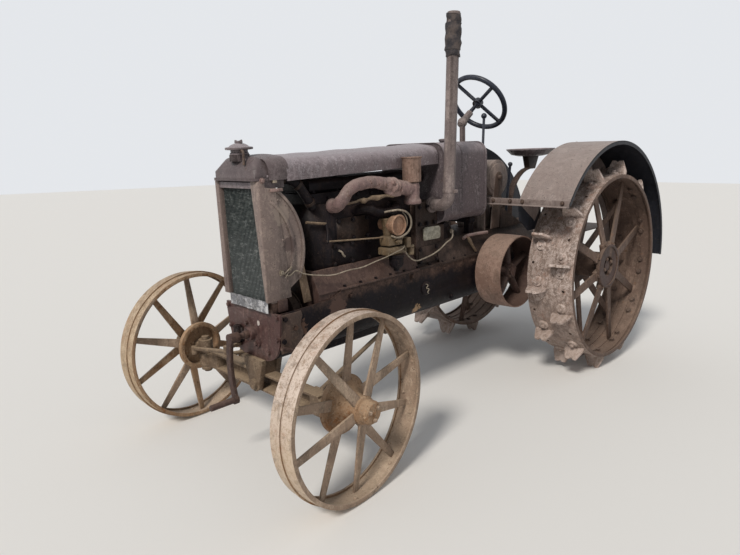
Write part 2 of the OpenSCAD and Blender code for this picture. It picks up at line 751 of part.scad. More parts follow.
pivot_z = 350;
module axle_pivot() {
    // Two hangers under the frame, before and behind the beam: from y, to y
    color("#55463b") translate([0, -wheelbase, 0]) {
        for (y = [[beam_y[0] - 26, beam_y[0] - seat_gap], [beam_y[1] + seat_gap, beam_y[1] + 30]])
            front_bar(y[0], y[1]) {
                polygon([[-84, frame_z], [-40, pivot_z], [40, pivot_z], [84, frame_z]]);
                translate([0, pivot_z]) circle(40);
            }
        translate([-60, beam_y[0] - 26, axle_z[1] + seat_gap])
            cube([120, beam_y[1] - beam_y[0] + 56, frame_z - axle_z[1] - seat_gap]);
        translate([0, 0, pivot_z]) y_rod(beam_y[0] - 40, beam_y[0] - 20, 26);
    }
}

// Stay rods run from the beam's rear face back to a bracket under the frame
module stay_rods() {
    beam_rear = beam_y[1] - wheelbase;
    bracket_y = [-1512, -1462];
    color("#55463b") {
        for (s = [-1, 1]) {
            rod([s * 385, beam_rear + 6, 386], [s * 12, bracket_y[0] + 10, 402], 12);
            translate([s * 385 - 28, beam_rear, 364]) cube([56, 12, 40]);
        }
        translate([-36, bracket_y[0], 384]) cube([72, bracket_y[1] - bracket_y[0], frame_z - 384]);
    }
}

arm_len = 105;       // length of the rear steering arms, between pin centres
arm_z = [282, 304];  // the rear steering arms, below the beam's eyes
link_len = 75;       // length of the front steering arm and of the pitman arm
link_z = 398;        // height of the drag link's pin on the right knuckle
pin_r = 9;
box_at = [-112, front_y - 20];      // the pitman arm's shaft, in the steering box
pitman_z = 525;      // underside of the pitman arm

// An arm with a boss and a pin hole at its end, towards -Y, from z to z + t
module eye_arm(len, z, t, w, eye_r) {
    difference() {
        union() {
            translate([-w / 2, -len, z]) cube([w, len, t]);
            translate([0, -len, z]) cylinder(h = t, r = eye_r);
        }
        translate([0, -len, z - 1]) cylinder(h = t + 2, r = pin_r + run_gap);
    }
}

// The knuckle is drawn about its kingpin, with its spindle along +X, and then turned
module knuckle() {
    color("#55463b") {
        translate([0, 0, arm_z[0] - 12]) cylinder(h = 200, r = 20);
        translate([0, 0, eye_top + 1]) cylinder(h = 74, r = 38);
        translate([0, 0, arm_z[0]]) cylinder(h = arm_z[1] - arm_z[0], r = 34);
        translate([0, 0, front_rim_r]) x_rod(10, kingpin_offset + 92, spindle_r);
        rotate([0, 0, 180]) eye_arm(arm_len, arm_z[0], arm_z[1] - arm_z[0], 34, 22);
    }
}
module at_kingpin(s) {
    translate([s * kingpin_x, -wheelbase, 0]) rotate([0, 0, steer_rest]) children();
}
module knuckle_left() {
    at_kingpin(1) knuckle();
}
module knuckle_right() {
    at_kingpin(-1) {
        mirror([1, 0, 0]) knuckle();
        color("#55463b") eye_arm(link_len, link_z - 9, 18, 30, 17);
    }
}

// The tie rod's pins stand in the rear arms' eyes
module tie_rod() {
    pin = arm_len * [-sin(steer_rest), cos(steer_rest)];
    color("#6d6257") translate([pin[0], -wheelbase + pin[1], 0]) {
        translate([0, 0, arm_z[1] + 14]) x_rod(-kingpin_x, kingpin_x, 13);
        for (s = [-1, 1]) translate([s * kingpin_x, 0, arm_z[0]]) {
            cylinder(h = 30, r = pin_r);
            translate([0, 0, arm_z[1] - arm_z[0] + 1]) cylinder(h = 27, r = 19);
        }
    }
}

// The drag link runs from the right knuckle's front arm up to the pitman arm
module drag_link() {
    pin = link_len * [sin(steer_rest), -cos(steer_rest)];
    low = [-kingpin_x + pin[0], -wheelbase + pin[1], link_z + 21];
    high = [box_at[0] + pin[0], box_at[1] + pin[1], pitman_z - 13];
    color("#6d6257") {
        rod(low, high, 10.5);
        translate([low[0], low[1], link_z + 10]) cylinder(h = 24, r = 16);
        translate([low[0], low[1], link_z - 9]) cylinder(h = 20, r = pin_r);
        translate([high[0], high[1], pitman_z - 25]) cylinder(h = 24, r = 16);
        translate([high[0], high[1], pitman_z - 3]) cylinder(h = 19, r = pin_r);
    }
}

module pitman_arm() {
    color("#6d6257") translate([box_at[0], box_at[1], 0]) rotate([0, 0, steer_rest]) {
        eye_arm(link_len, pitman_z, 16, 26, 16);
        translate([0, 0, pitman_z]) cylinder(h = 60, r = 13);
    }
}

// The steering box is bolted to the front plate
module steering_box() {
    color("#3b322c") difference() {
        union() {
            translate([box_at[0], box_at[1], pitman_z + 18]) {
                cylinder(h = 84, r = 19.5);
                translate([0, 0, 22]) cylinder(h = 36, r = 19.9);
            }
            translate([box_at[0] - 26, front_y - 14, pitman_z + 24]) cube([52, 14, 70]);
        }
        translate([box_at[0], box_at[1], pitman_z]) cylinder(h = 61, r = 13 + run_gap);
    }
}

// A spoked wheel about the X axis, with its middle plane at x = 0
module flat_spokes(n, hub_r, rim_r, hub_x, foot_x, w, t, turn, foot_w) {
    for (k = [0:n - 1]) rotate([360 / n * k + turn, 0, 0]) {
        a = atan2(foot_x - hub_x, rim_r - hub_r);
        len = norm([foot_x - hub_x, rim_r - hub_r]);
        translate([hub_x, 0, hub_r]) rotate([0, a, 0]) side_plate(-t / 2, t / 2)
            polygon([[-w / 2, 0], [w / 2, 0], [foot_w / 2, len], [-foot_w / 2, len]]);
    }
}

module rim_section(r, w, t, lip) {
    translate([r - t, -w / 2]) square([t, w]);
    for (s = [-1, 1]) translate([r - t - lip, s * (w / 2 - 5) - 5]) square([lip, 10]);
}

// The hub opens inwards round the knuckle like a bowl, and ends in a cap
front_hub_r = 130;
module front_wheel() {
    color("#8b7462") difference() {
        union() {
            rotate([0, 90, 0]) rotate_extrude($fn = 120) {
                rim_section(front_rim_r, front_rim_w, front_rim_t, 10);
                translate([front_rim_r - 1, -14]) square([guide_h + 1, 15]);
            }
            rotate([0, 90, 0]) rotate_extrude() polygon([
                [0, 112], [42, 112], [51, 100], [51, 66], [60, 62], [60, 34], [68, 4],
                [96, -24], [front_hub_r, -48], [front_hub_r, -72], [front_hub_r - 22, -72],
                [front_hub_r - 28, -38], [0, -38]]);
            flat_spokes(5, 104, front_rim_r - front_rim_t, -36, 12, 48, 10, 0, 27);
            flat_spokes(5, 56, front_rim_r - front_rim_t, 48, -12, 48, 10, 36, 27);
        }
        x_rod(-80, 93, spindle_r + run_gap);
    }
}
module front_wheel_at(s) {
    at_kingpin(s) translate([s * kingpin_offset, 0, front_rim_r]) children();
}
module front_wheel_left() { front_wheel_at(1) front_wheel(); }
module front_wheel_right() { front_wheel_at(-1) mirror([1, 0, 0]) front_wheel(); }

// A spade lug on the rim at the top of the wheel, its blade across the tread
module lug() {
    translate([0, lug_t / 2, rear_rim_r]) rotate([90, 0, 0]) linear_extrude(lug_t) polygon([
        [-lug_w / 2, -1], [lug_w / 2, -1], [lug_w / 2, 22], [lug_w / 2 - 24, lug_h - 10],
        [lug_w / 2 - 30, lug_h], [14, lug_h], [0, lug_h - 12], [-14, lug_h],
        [-lug_w / 2 + 30, lug_h], [-lug_w / 2 + 24, lug_h - 10], [-lug_w / 2, 22]]);
    translate([0, 0, rear_rim_r - 4]) linear_extrude(9) polygon([
        [-44, -lug_t], [-22, -58], [22, -58], [44, -lug_t], [44, lug_t], [22, 58], [-22, 58],
        [-44, lug_t]]);
}

module rear_rim() {
    color("#7b6654") {
        rotate([0, 90, 0]) rotate_extrude($fn = 144)
            rim_section(rear_rim_r, rear_rim_w, rear_rim_t, 14);
        // Each row: its place across the rim, and its angle past the lowest point
        for (row = [[76, -lug_step / 4], [-76, lug_step / 4]], k = [0:lugs_per_row - 1])
            rotate([180 - pitch + row[1] + lug_step * k, 0, 0])
                translate([row[0], 0, 0]) lug();
    }
}

module rear_spokes() {
    face = 97;       // outer face of the hub, from the wheel's middle
    step = 360 / rear_spoke_n;
    color("#6f5b4b") {
        difference() {
            union() {
                x_rod(-130, face - 12, 88);
                x_rod(face - 16, face, rear_hub_r);
                x_rod(face - 26, face - 14, rear_hub_r - 22);
                x_rod(face - 1, face + 7, rear_hub_r);
            }
            x_rod(face, face + 10, rear_hub_r - 17);
            x_rod(face - 34, face + 10, 66);
        }
        x_rod(face - 40, face - 8, 34);
        x_rod(-128, -108, rear_hub_r - 9);
        x_rod(-rear_track + 305, -130, rear_shaft_r);
        intersection() {
            union() {
                flat_spokes(rear_spoke_n, 118, rear_rim_r + 4, face - 14, 46, 56, 12, -27, 45);
                flat_spokes(rear_spoke_n, 116, rear_rim_r + 4, -118, -46, 56, 12, step / 2 - 27, 45);
            }
            x_rod(-rear_rim_w, rear_rim_w, rear_rim_r - rear_rim_t, $fn = 240);
        }
    }
}
module rear_at(s) {
    translate([s * rear_track, 0, rear_rim_r]) children();
}
module rear_rim_left() { rear_at(1) rear_rim(); }
module rear_rim_right() { rear_at(-1) mirror([1, 0, 0]) rear_rim(); }
module rear_spokes_left() { rear_at(1) rear_spokes(); }
module rear_spokes_right() { rear_at(-1) mirror([1, 0, 0]) rear_spokes(); }

pulley_at = [-666, 654];
drive_r = 39;        // radius of the belt pulley's bearing

pulley_x = 404;      // outer edge of the pulley's face
module belt_pulley() {
    hub_x = pulley_x - 110;
    color("#7a5240") translate([0, pulley_at[0], pulley_at[1]]) {
        rotate([0, 90, 0]) translate([0, 0, pulley_x - pulley_w]) difference() {
            cylinder(h = pulley_w, r = pulley_r);
            translate([0, 0, -1]) cylinder(h = pulley_w + 2, r = pulley_r - 9);
        }
        x_rod(hub_x - 20, hub_x + 50, 46);
        x_rod(150, hub_x, 28);
        for (k = [0:4]) rotate([72 * k + 16, 0, 0]) translate([hub_x - 8, -21, 40])
            cube([26, 42, pulley_r - 48]);
    }
}

module pulley_drive() {
    color("#2b2622") translate([0, pulley_at[0], pulley_at[1]]) difference() {
        x_rod(61, 218, drive_r);
        x_rod(100, 219, 28 + run_gap);
    }
}

crank_y = bearing_y - 88;       // rear face of the crank's arm
crank_len = 304;
module crank_handle() {
    color("#5b4a40") translate([0, 0, crank_z]) {
        y_rod(crank_y - 8, front_y + 8, crank_r);
        y_rod(crank_y - 16, crank_y + 34, 25);
        y_rod(bearing_y - 24, bearing_y - 1, 20);
        // The arm bows a little to one side
        translate([0, crank_y, 0]) rotate([90, 0, 0]) linear_extrude(16) polygon(concat(
            arc([502, -crank_len / 2], 542, 180 - 16.2, 180 + 16.2, 8),
            arc([502, -crank_len / 2], 506, 180 + 17.4, 180 - 17.4, 8)));
        translate([0, 0, -crank_len]) {
            y_rod(crank_y - 20, crank_y + 2, 21);
            y_rod(crank_y - 142, crank_y - 18, 15);
        }
    }
}

stand() frame_pan();
stand() front_plate();
stand() oil_sump();
stand() crankcase();
stand() cylinder_block();
stand() cylinder_head();
stand() clutch_housing();
stand() transmission();
stand() rear_axle();
stand() exhaust_manifold();
stand() exhaust_stub();
stand() intake_manifold();
stand() carburettor();
stand() air_stack();
stand() crank_pulley();
stand() radiator_core();
stand() radiator_tank();
stand() radiator_base();
stand() radiator_cap();
stand() fan_shroud();
stand() fan();
stand() hood();
stand() fuel_tank();
stand() tank_bearers();
stand() dash_drum();
stand() steering_post();
stand() steering_wheel();
stand() levers();
stand() platform();
stand() seat();
stand() seat_spring();
stand() drawbar();
stand() fender_left();
stand() fender_right();
stand() fender_bar();
stand() front_axle();
stand() axle_pivot();
stand() stay_rods();
stand() knuckle_left();
stand() knuckle_right();
stand() tie_rod();
stand() drag_link();
stand() pitman_arm();
stand() steering_box();
stand() front_wheel_left();
stand() front_wheel_right();
stand() rear_rim_left();
stand() rear_rim_right();
stand() rear_spokes_left();
stand() rear_spokes_right();
stand() belt_pulley();
stand() pulley_drive();
stand() crank_handle();
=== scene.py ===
# %% [markdown]
# # An old farm tractor on steel wheels
#
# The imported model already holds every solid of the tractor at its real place. What it
# lacks is a surface: eased edges, bolts, dents, wires, dust and rust. This file adds
# them one piece at a time. Lengths are written in millimetres in the tractor's own
# level frame: the rear axle is at y = 0, forward is -Y, the tractor's left is +X, and
# z = 0 is where its rims would stand.

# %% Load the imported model
import json
import math
import random
from contextlib import contextmanager

import bmesh
import bpy
from mathutils import Matrix, Vector, noise


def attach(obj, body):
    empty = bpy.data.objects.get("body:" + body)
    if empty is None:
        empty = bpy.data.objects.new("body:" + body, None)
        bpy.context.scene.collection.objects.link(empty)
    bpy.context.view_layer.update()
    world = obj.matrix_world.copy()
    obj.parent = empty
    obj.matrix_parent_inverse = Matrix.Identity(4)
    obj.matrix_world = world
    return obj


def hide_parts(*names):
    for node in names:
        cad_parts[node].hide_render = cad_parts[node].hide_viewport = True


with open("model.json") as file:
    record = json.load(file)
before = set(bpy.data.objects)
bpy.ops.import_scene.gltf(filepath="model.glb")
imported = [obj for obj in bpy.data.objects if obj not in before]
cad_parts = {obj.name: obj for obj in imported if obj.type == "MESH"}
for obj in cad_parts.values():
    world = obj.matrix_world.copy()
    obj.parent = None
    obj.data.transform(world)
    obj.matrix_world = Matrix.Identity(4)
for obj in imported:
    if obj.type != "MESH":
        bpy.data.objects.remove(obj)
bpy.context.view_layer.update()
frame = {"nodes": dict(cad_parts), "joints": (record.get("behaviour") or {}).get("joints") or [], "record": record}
joints = {joint["name"]: joint for joint in frame["joints"]}

# %% [markdown]
# The tractor stands on the tips of its lugs behind and on its rims in front, so it is
# tilted a little. The steering joint's axis says by how much, and the rear wheel's
# joint says where its axle is. With both, one matrix carries a piece from the level
# frame to its place on the floor.

# %% From the level frame to the floor
MM = 0.001
# The radius of the rear rims, without their lugs
REAR_R = 610
AXLE = Vector(joints["left_rear_spin"]["pos_m"])
AXLE.x = 0
UP = Vector(joints["steer"]["axis"])
TILT = math.atan2(-UP.y, UP.z)
STANCE = (Matrix.Translation(AXLE) @ Matrix.Rotation(TILT, 4, "X")
          @ Matrix.Translation((0, 0, -REAR_R * MM)))
IN_PLACE = Matrix.Identity(4)
MIRROR = Matrix.Scale(-1, 4, (1, 0, 0))
SIDES = ((1, "left"), (-1, "right"))


def mm(*place):
    """A place in millimetres as a vector in metres."""
    return Vector(place) * MM


def move(*place):
    """A matrix that moves a piece, in millimetres."""
    return Matrix.Translation(mm(*place))


def rotation(degrees, axis):
    """A matrix that turns a piece about an axis through the origin."""
    return Matrix.Rotation(math.radians(degrees), 4, axis)


def facing(direction):
    """The turn that takes +Z to a direction."""
    return Vector(direction).to_track_quat("Z", "Y").to_matrix().to_4x4()


def at(place, direction=(0, 0, 1), spin=0):
    """A matrix that stands a piece on a place, its +Z along a direction."""
    return move(*place) @ facing(direction) @ rotation(spin, "Z")


print("tilt of the tractor, degrees:", round(math.degrees(TILT), 2))

# %% [markdown]
# Operators act on whatever is selected, and loading leaves every solid selected. So
# each step starts by deselecting, and goes into edit mode through one small helper
# that also leaves it again.

# %% Small helpers for modelling
# Points closer than this, in metres, are merged
MERGE = 0.00002


def deselect():
    bpy.ops.object.select_all(action="DESELECT")


def alone(ob):
    """Makes an object the only selected one, and the active one."""
    deselect()
    ob.select_set(True)
    bpy.context.view_layer.objects.active = ob
    return ob


@contextmanager
def editing(ob):
    """Edit mode on one object, with all its points selected at the start."""
    alone(ob)
    bpy.ops.object.mode_set(mode="EDIT")
    bpy.ops.mesh.select_mode(type="VERT")
    bpy.ops.mesh.select_all(action="SELECT")
    yield
    bpy.ops.object.mode_set(mode="OBJECT")


def choose(kind, test):
    """In edit mode, selects the points, edges or faces for which a test holds."""
    mesh = bmesh.from_edit_mesh(bpy.context.object.data)
    bpy.ops.mesh.select_mode(type=kind)
    bpy.ops.mesh.select_all(action="DESELECT")
    parts = {"VERT": mesh.verts, "EDGE": mesh.edges, "FACE": mesh.faces}[kind]
    for part in parts:
        if test(part):
            part.select_set(True)
    mesh.select_flush_mode()
    bmesh.update_edit_mesh(bpy.context.object.data)


def finish_modifier(ob, kind, **settings):
    """Adds a modifier with its settings and applies it."""
    modifier = ob.modifiers.new(kind.lower(), kind)
    for key, value in settings.items():
        setattr(modifier, key, value)
    alone(ob)
    bpy.ops.object.modifier_apply(modifier=modifier.name)
    return ob


def ease(ob, width):
    """Rounds the sharp edges by a width in millimetres."""
    return finish_modifier(ob, "BEVEL", width=width * MM, segments=2, limit_method="ANGLE",
                           angle_limit=math.radians(32), use_clamp_overlap=True,
                           harden_normals=False)


def smooth(ob, angle):
    """Shades faces smoothly where they meet at less than an angle in degrees."""
    alone(ob)
    bpy.ops.object.shade_smooth_by_angle(angle=math.radians(angle))
    return ob


def outward(ob):
    """Merges doubled points and turns all faces outwards."""
    with editing(ob):
        bpy.ops.mesh.remove_doubles(threshold=MERGE)
        bpy.ops.mesh.normals_make_consistent(inside=False)
    return ob


def turned(ob, matrix):
    """Moves a piece by moving its mesh, so that its object stays at the origin."""
    ob.data.transform(matrix @ ob.matrix_world)
    ob.matrix_world = IN_PLACE
    return ob


def joined(name, pieces):
    """Joins pieces into one object."""
    for piece in pieces:
        turned(piece, IN_PLACE)
    alone(pieces[0])
    for piece in pieces[1:]:
        piece.select_set(True)
    if len(pieces) > 1:
        bpy.ops.object.join()
    pieces[0].name = name
    return pieces[0]


def spread(name, master, places):
    """Copies a small part to each matrix, every copy with its own mesh, and joins them."""
    copies = []
    for place in places:
        copy = bpy.data.objects.new(name, master.data.copy())
        copy.data.transform(place)
        bpy.context.collection.objects.link(copy)
        copies.append(copy)
    bpy.data.objects.remove(master)
    return joined(name, copies)


# %% [markdown]
# Shader maths reads best as plain expressions. A small class wraps a socket and adds
# a Math node for each operator, with the reflected forms too, so that `1 - rust` works.
# A second class holds the material, and has one method that makes any other node.

# %% Paint by expressions
class Value:
    """A socket of a material that can be used like a number."""

    def __init__(self, paint, socket):
        self.paint = paint
        self.socket = socket

    def maths(self, operation, first, second):
        return self.paint.add("ShaderNodeMath", {"operation": operation}, first, second)

    def __add__(self, other):
        return self.maths("ADD", self, other)

    def __sub__(self, other):
        return self.maths("SUBTRACT", self, other)

    def __mul__(self, other):
        return self.maths("MULTIPLY", self, other)

    def __rsub__(self, other):
        return self.maths("SUBTRACT", other, self)

    __radd__ = __add__
    __rmul__ = __mul__


class Paint:
    """A material being mixed."""

    def __init__(self, name, **shader):
        self.material = bpy.data.materials.new(name)
        self.material.use_nodes = True
        self.tree = self.material.node_tree
        self.shader = self.tree.nodes["Principled BSDF"]
        for key, value in shader.items():
            self.shader.inputs[key.replace("_", " ")].default_value = value
        self.place = self.add("ShaderNodeTexCoord", out="Object")
        self.normal = self.add("ShaderNodeTexCoord", out="Normal")

    def add(self, kind, settings=None, *values, out=0, **named):
        """Makes a node, gives it its settings, and then feeds its sockets."""
        node = self.tree.nodes.new(kind)
        for key, value in (settings or {}).items():
            setattr(node, key, value)
        feeds = list(zip(node.inputs, values))
        feeds += [(node.inputs[key.replace("_", " ")], value) for key, value in named.items()]
        for socket, value in feeds:
            if isinstance(value, Value):
                self.tree.links.new(value.socket, socket)
            elif value is not None:
                socket.default_value = value
        return Value(self, node.outputs[out])

    def noise(self, size, detail, roughness, stretch=(1, 1, 1)):
        """Cloudy noise from 0 to 1, its patches about a size in millimetres across."""
        place = self.add("ShaderNodeMapping", None, self.place, Scale=stretch)
        return self.add("ShaderNodeTexNoise", None, Vector=place, Scale=1 / (size * MM),
                        Detail=detail, Roughness=roughness)

    def step(self, value, low, high):
        """0 at low, 1 at high, and a smooth slope between. Low may be the greater one."""
        slope = {"interpolation_type": "SMOOTHSTEP"}
        return self.add("ShaderNodeMapRange", slope, value, low, high)

    def mix(self, mask, first, second):
        """A colour between two, by a mask."""
        node = self.tree.nodes.new("ShaderNodeMix")
        node.data_type = "RGBA"
        sockets = (node.inputs[0], node.inputs[6], node.inputs[7])
        for socket, value in zip(sockets, (mask, first, second)):
            if isinstance(value, Value):
                self.tree.links.new(value.socket, socket)
            else:
                socket.default_value = value if isinstance(value, float) else (*value, 1.0)
        return Value(self, node.outputs[2])

    def upward(self):
        """How far the surface looks up, from -1 to 1."""
        return self.add("ShaderNodeSeparateXYZ", None, self.normal, out=2)

    def level(self):
        """The height in metres in the level frame."""
        foot = AXLE.dot(UP) - REAR_R * MM
        dot = {"operation": "DOT_PRODUCT"}
        return self.add("ShaderNodeVectorMath", dot, self.place, tuple(UP), out=1) - foot

    def near(self, place, reach, ragged):
        """1 within a reach in millimetres of a place, with an edge made ragged by a noise."""
        away = self.add("ShaderNodeVectorMath", {"operation": "DISTANCE"}, self.place,
                        tuple(STANCE @ mm(*place)), out=1)
        return self.step(away + (ragged - 0.5) * (reach * 2.2 * MM), reach * MM, reach * 0.8 * MM)

    def corners(self, reach):
        """1 in a piece's own inner corners and 0 where it is open, reach in millimetres: the mask of the shade
        painted into those corners.
        """
        node = {"only_local": True, "samples": 6}
        return 1 - self.add("ShaderNodeAmbientOcclusion", node, Distance=reach * MM, out=1)

    def apply(self, colour, roughness, height, depth):
        """Feeds the shader. The bump's depth is in millimetres."""
        bump = self.add("ShaderNodeBump", None, Strength=0.8, Distance=depth * MM, Height=height)
        for key, value in (("Base Color", colour), ("Roughness", roughness), ("Normal", bump)):
            self.tree.links.new(value.socket, self.shader.inputs[key])
        return self.material


# %% [markdown]
# Nearly every surface here is the same story in other amounts: paint or iron, worn to
# an undercoat in patches, pitted with rust, and dusted on what faces up, darkened by
# painted shade in its own inner corners. On the hood and the tank the pale dust on top
# also paints the light and the sky's sheen on their tops. So one function tells it, and
# each finish below gives its colours and its amounts. The noises have sizes in
# millimetres, so the pits are as big on a lever as on a wheel.

# %% A weathered surface
def darker(colour, share):
    """A colour with only a share of its light."""
    return tuple(part * share for part in colour)


def weathered(name, paint, worn, rust, dust, wear, rusting, dusting, pits, roughness,
              shine=0.3, corner_shade=0.8, top=None, spots=()):
    """Worn, rusted and dusted metal, with painted shade in its inner corners. Wear, rusting, dusting and corner
    shade go from 0 to 1.
    """
    mixer = Paint(name, Specular_IOR_Level=shine)
    broad = mixer.noise(300, 5, 0.65)
    patch = mixer.noise(80, 9, 0.74)
    blotch = mixer.noise(24, 8, 0.74)
    grain = mixer.noise(8, 5, 0.75)
    run = mixer.noise(46, 7, 0.72, stretch=(1, 1, 0.12))
    speck = blotch * 0.5 + grain * 0.5
    # The paint, worn through in patches, with soot in runs
    cloud = broad * 0.3 + patch * 0.4 + blotch * 0.3
    worn_mask = mixer.step(cloud, 0.58 - 0.18 * wear, 0.64 - 0.18 * wear)
    colour = mixer.mix(worn_mask, paint, worn)
    soot = mixer.step(patch * 0.4 + run * 0.6, 0.49, 0.57)
    colour = mixer.mix(soot * 0.62, colour, darker(paint, 0.38))
    # Rust, which is deeper in its middle
    rust_mask = mixer.step(patch * 0.45 + blotch * 0.35 + grain * 0.2, 0.64 - 0.26 * rusting,
                           0.69 - 0.25 * rusting)
    deep = mixer.mix(mixer.step(blotch, 0.42, 0.58), rust, darker(rust, 0.4))
    colour = mixer.mix(rust_mask * 0.85, colour, deep)
    # Dust that lies on what faces up, and has settled in runs. On the hood and the tank the pale dust on top also
    # paints the light and the sky's sheen that fall on their tops
    top_dust_and_light = mixer.step(mixer.upward() + (patch - 0.5) * 1.9, 0.0, 1.0)
    settled = mixer.step(run * 0.5 + blotch * 0.5, 0.52, 0.61)
    dust_and_top_light = (top_dust_and_light * 0.75 + settled * 0.55) * dusting
    colour = mixer.mix(dust_and_top_light, colour, dust)
    # Dark and pale specks
    colour = mixer.mix(mixer.step(speck, 0.54, 0.61) * 0.7, colour, darker(paint, 0.3))
    colour = mixer.mix(mixer.step(speck, 0.45, 0.39) * 0.5, colour, dust)
    if top:
        low, high, shade = top
        edge = mixer.step(mixer.level() + (patch - 0.5) * (200 * MM), low * MM, high * MM)
        cover = mixer.mix(mixer.step(blotch, 0.4, 0.6), darker(shade, 0.4), shade)
        colour = mixer.mix(edge * 0.8, colour, cover)
    for place, reach, shade in spots:
        colour = mixer.mix(mixer.near(place, reach, blotch) * 0.85, colour, shade)
    # Painted shade: the piece's own inner corners are darkened towards a dark paint
    colour = mixer.mix(mixer.corners(55) * corner_shade, colour, darker(paint, 0.22))
    rough = roughness + rust_mask * 0.22 + dust_and_top_light * 0.2 + (blotch - 0.5) * 0.5
    bumps = grain * 0.2 + blotch * 0.4 + patch * 0.5 + rust_mask * 0.1
    return mixer.apply(colour, rough, bumps, pits * 2.2)


# Colours, as the light's share that comes back in red, green and blue
RUST = (0.30, 0.125, 0.055)
DARK_RUST = (0.125, 0.056, 0.036)
# Finish: paint, worn, rust, dust, then wear, rusting, dusting, depth of pits, roughness
FINISHES = (
    # The hood's and the tank's paint and dust are tinted blue: partly their own colour, partly a painted
    # reflection of the blue sky on their tops
    ("dusty_paint", (0.155, 0.124, 0.130), (0.27, 0.228, 0.238), DARK_RUST, (0.46, 0.41, 0.435),
     0.45, 0.3, 0.62, 0.8, 0.40),
    ("shroud_paint", (0.185, 0.140, 0.125), (0.27, 0.21, 0.182), DARK_RUST, (0.38, 0.305, 0.262),
     0.5, 0.3, 0.55, 0.8, 0.46),
    ("tank_paint", (0.108, 0.086, 0.091), (0.200, 0.168, 0.175), DARK_RUST, (0.42, 0.36, 0.372),
     0.4, 0.35, 0.75, 0.8, 0.42),
    ("cast_paint", (0.085, 0.064, 0.066), (0.140, 0.113, 0.115), DARK_RUST, (0.22, 0.18, 0.18),
     0.4, 0.35, 0.5, 1.4, 0.42),
    ("fender_paint", (0.180, 0.138, 0.124), (0.28, 0.225, 0.205), DARK_RUST, (0.42, 0.35, 0.32),
     0.5, 0.3, 0.55, 0.7, 0.46),
    # Not the fenders' paint but painted shade: a near black for their undersides, inner faces and folded edges
    ("fender_shade", (0.020, 0.022, 0.029), (0.036, 0.036, 0.043), DARK_RUST, (0.085, 0.075, 0.07),
     0.4, 0.25, 0.3, 0.8, 0.4),
    ("maroon_paint", (0.070, 0.035, 0.032), (0.145, 0.086, 0.076), DARK_RUST, (0.21, 0.145, 0.125),
     0.45, 0.35, 0.45, 0.9, 0.42),
    ("oily_iron", (0.010, 0.008, 0.010), (0.024, 0.018, 0.018), (0.085, 0.045, 0.030),
     (0.080, 0.052, 0.042), 0.3, 0.14, 0.35, 1.6, 0.42),
    ("oily_brown", (0.026, 0.017, 0.014), (0.060, 0.040, 0.033), (0.11, 0.055, 0.036),
     (0.13, 0.09, 0.072), 0.45, 0.3, 0.45, 1.6, 0.46),
    ("frame_iron", (0.008, 0.0065, 0.0085), (0.017, 0.013, 0.013), (0.085, 0.044, 0.030),
     (0.060, 0.040, 0.033), 0.3, 0.16, 0.25, 1.2, 0.42),
    ("brown_iron", (0.075, 0.048, 0.038), (0.135, 0.092, 0.072), DARK_RUST, (0.23, 0.165, 0.125),
     0.5, 0.35, 0.5, 1.4, 0.56),
    ("sump_brown", (0.055, 0.031, 0.026), (0.105, 0.065, 0.053), DARK_RUST, (0.18, 0.118, 0.092),
     0.5, 0.4, 0.45, 1.4, 0.56),
    ("axle_iron", (0.125, 0.085, 0.056), (0.23, 0.165, 0.112), RUST, (0.43, 0.325, 0.22),
     0.5, 0.3, 0.6, 1.4, 0.66),
    ("rust", (0.185, 0.120, 0.114), (0.30, 0.205, 0.185), (0.27, 0.115, 0.060),
     (0.40, 0.32, 0.28), 0.6, 0.4, 0.45, 2.2, 0.66),
    ("pulley_rust", (0.175, 0.108, 0.083), (0.26, 0.172, 0.135), (0.26, 0.115, 0.065),
     (0.35, 0.255, 0.20), 0.6, 0.35, 0.5, 0.9, 0.66),
    ("bell_rust", (0.26, 0.145, 0.092), (0.42, 0.26, 0.175), (0.34, 0.15, 0.06), (0.44, 0.31, 0.22),
     0.6, 0.35, 0.35, 1.4, 0.66),
    ("brass", (0.15, 0.104, 0.062), (0.35, 0.28, 0.185), DARK_RUST, (0.33, 0.27, 0.19),
     0.5, 0.35, 0.3, 1.2, 0.46),
    ("bare_metal", (0.14, 0.142, 0.155), (0.50, 0.50, 0.515), DARK_RUST, (0.42, 0.405, 0.39),
     0.55, 0.2, 0.4, 1.2, 0.40),
    ("wheel_blue", (0.016, 0.020, 0.034), (0.040, 0.044, 0.060), DARK_RUST, (0.10, 0.098, 0.105),
     0.4, 0.15, 0.3, 0.7, 0.36),
    ("front_wheel_paint", (0.285, 0.202, 0.145), (0.44, 0.33, 0.245), RUST, (0.56, 0.44, 0.32),
     0.5, 0.3, 0.55, 1.4, 0.72),
    ("hub_rust", (0.30, 0.185, 0.108), (0.46, 0.325, 0.21), (0.40, 0.165, 0.055),
     (0.55, 0.41, 0.28), 0.5, 0.5, 0.5, 1.8, 0.72),
    ("rear_wheel_paint", (0.108, 0.069, 0.053), (0.190, 0.128, 0.099), RUST, (0.30, 0.218, 0.165),
     0.5, 0.35, 0.45, 1.4, 0.66),
    ("stack_paint", (0.165, 0.130, 0.124), (0.27, 0.22, 0.205), DARK_RUST, (0.36, 0.30, 0.275),
     0.5, 0.2, 0.35, 0.7, 0.48),
    ("steel_wire", (0.20, 0.165, 0.125), (0.38, 0.32, 0.25), RUST, (0.42, 0.36, 0.28),
     0.6, 0.3, 0.3, 0.3, 0.42),
)
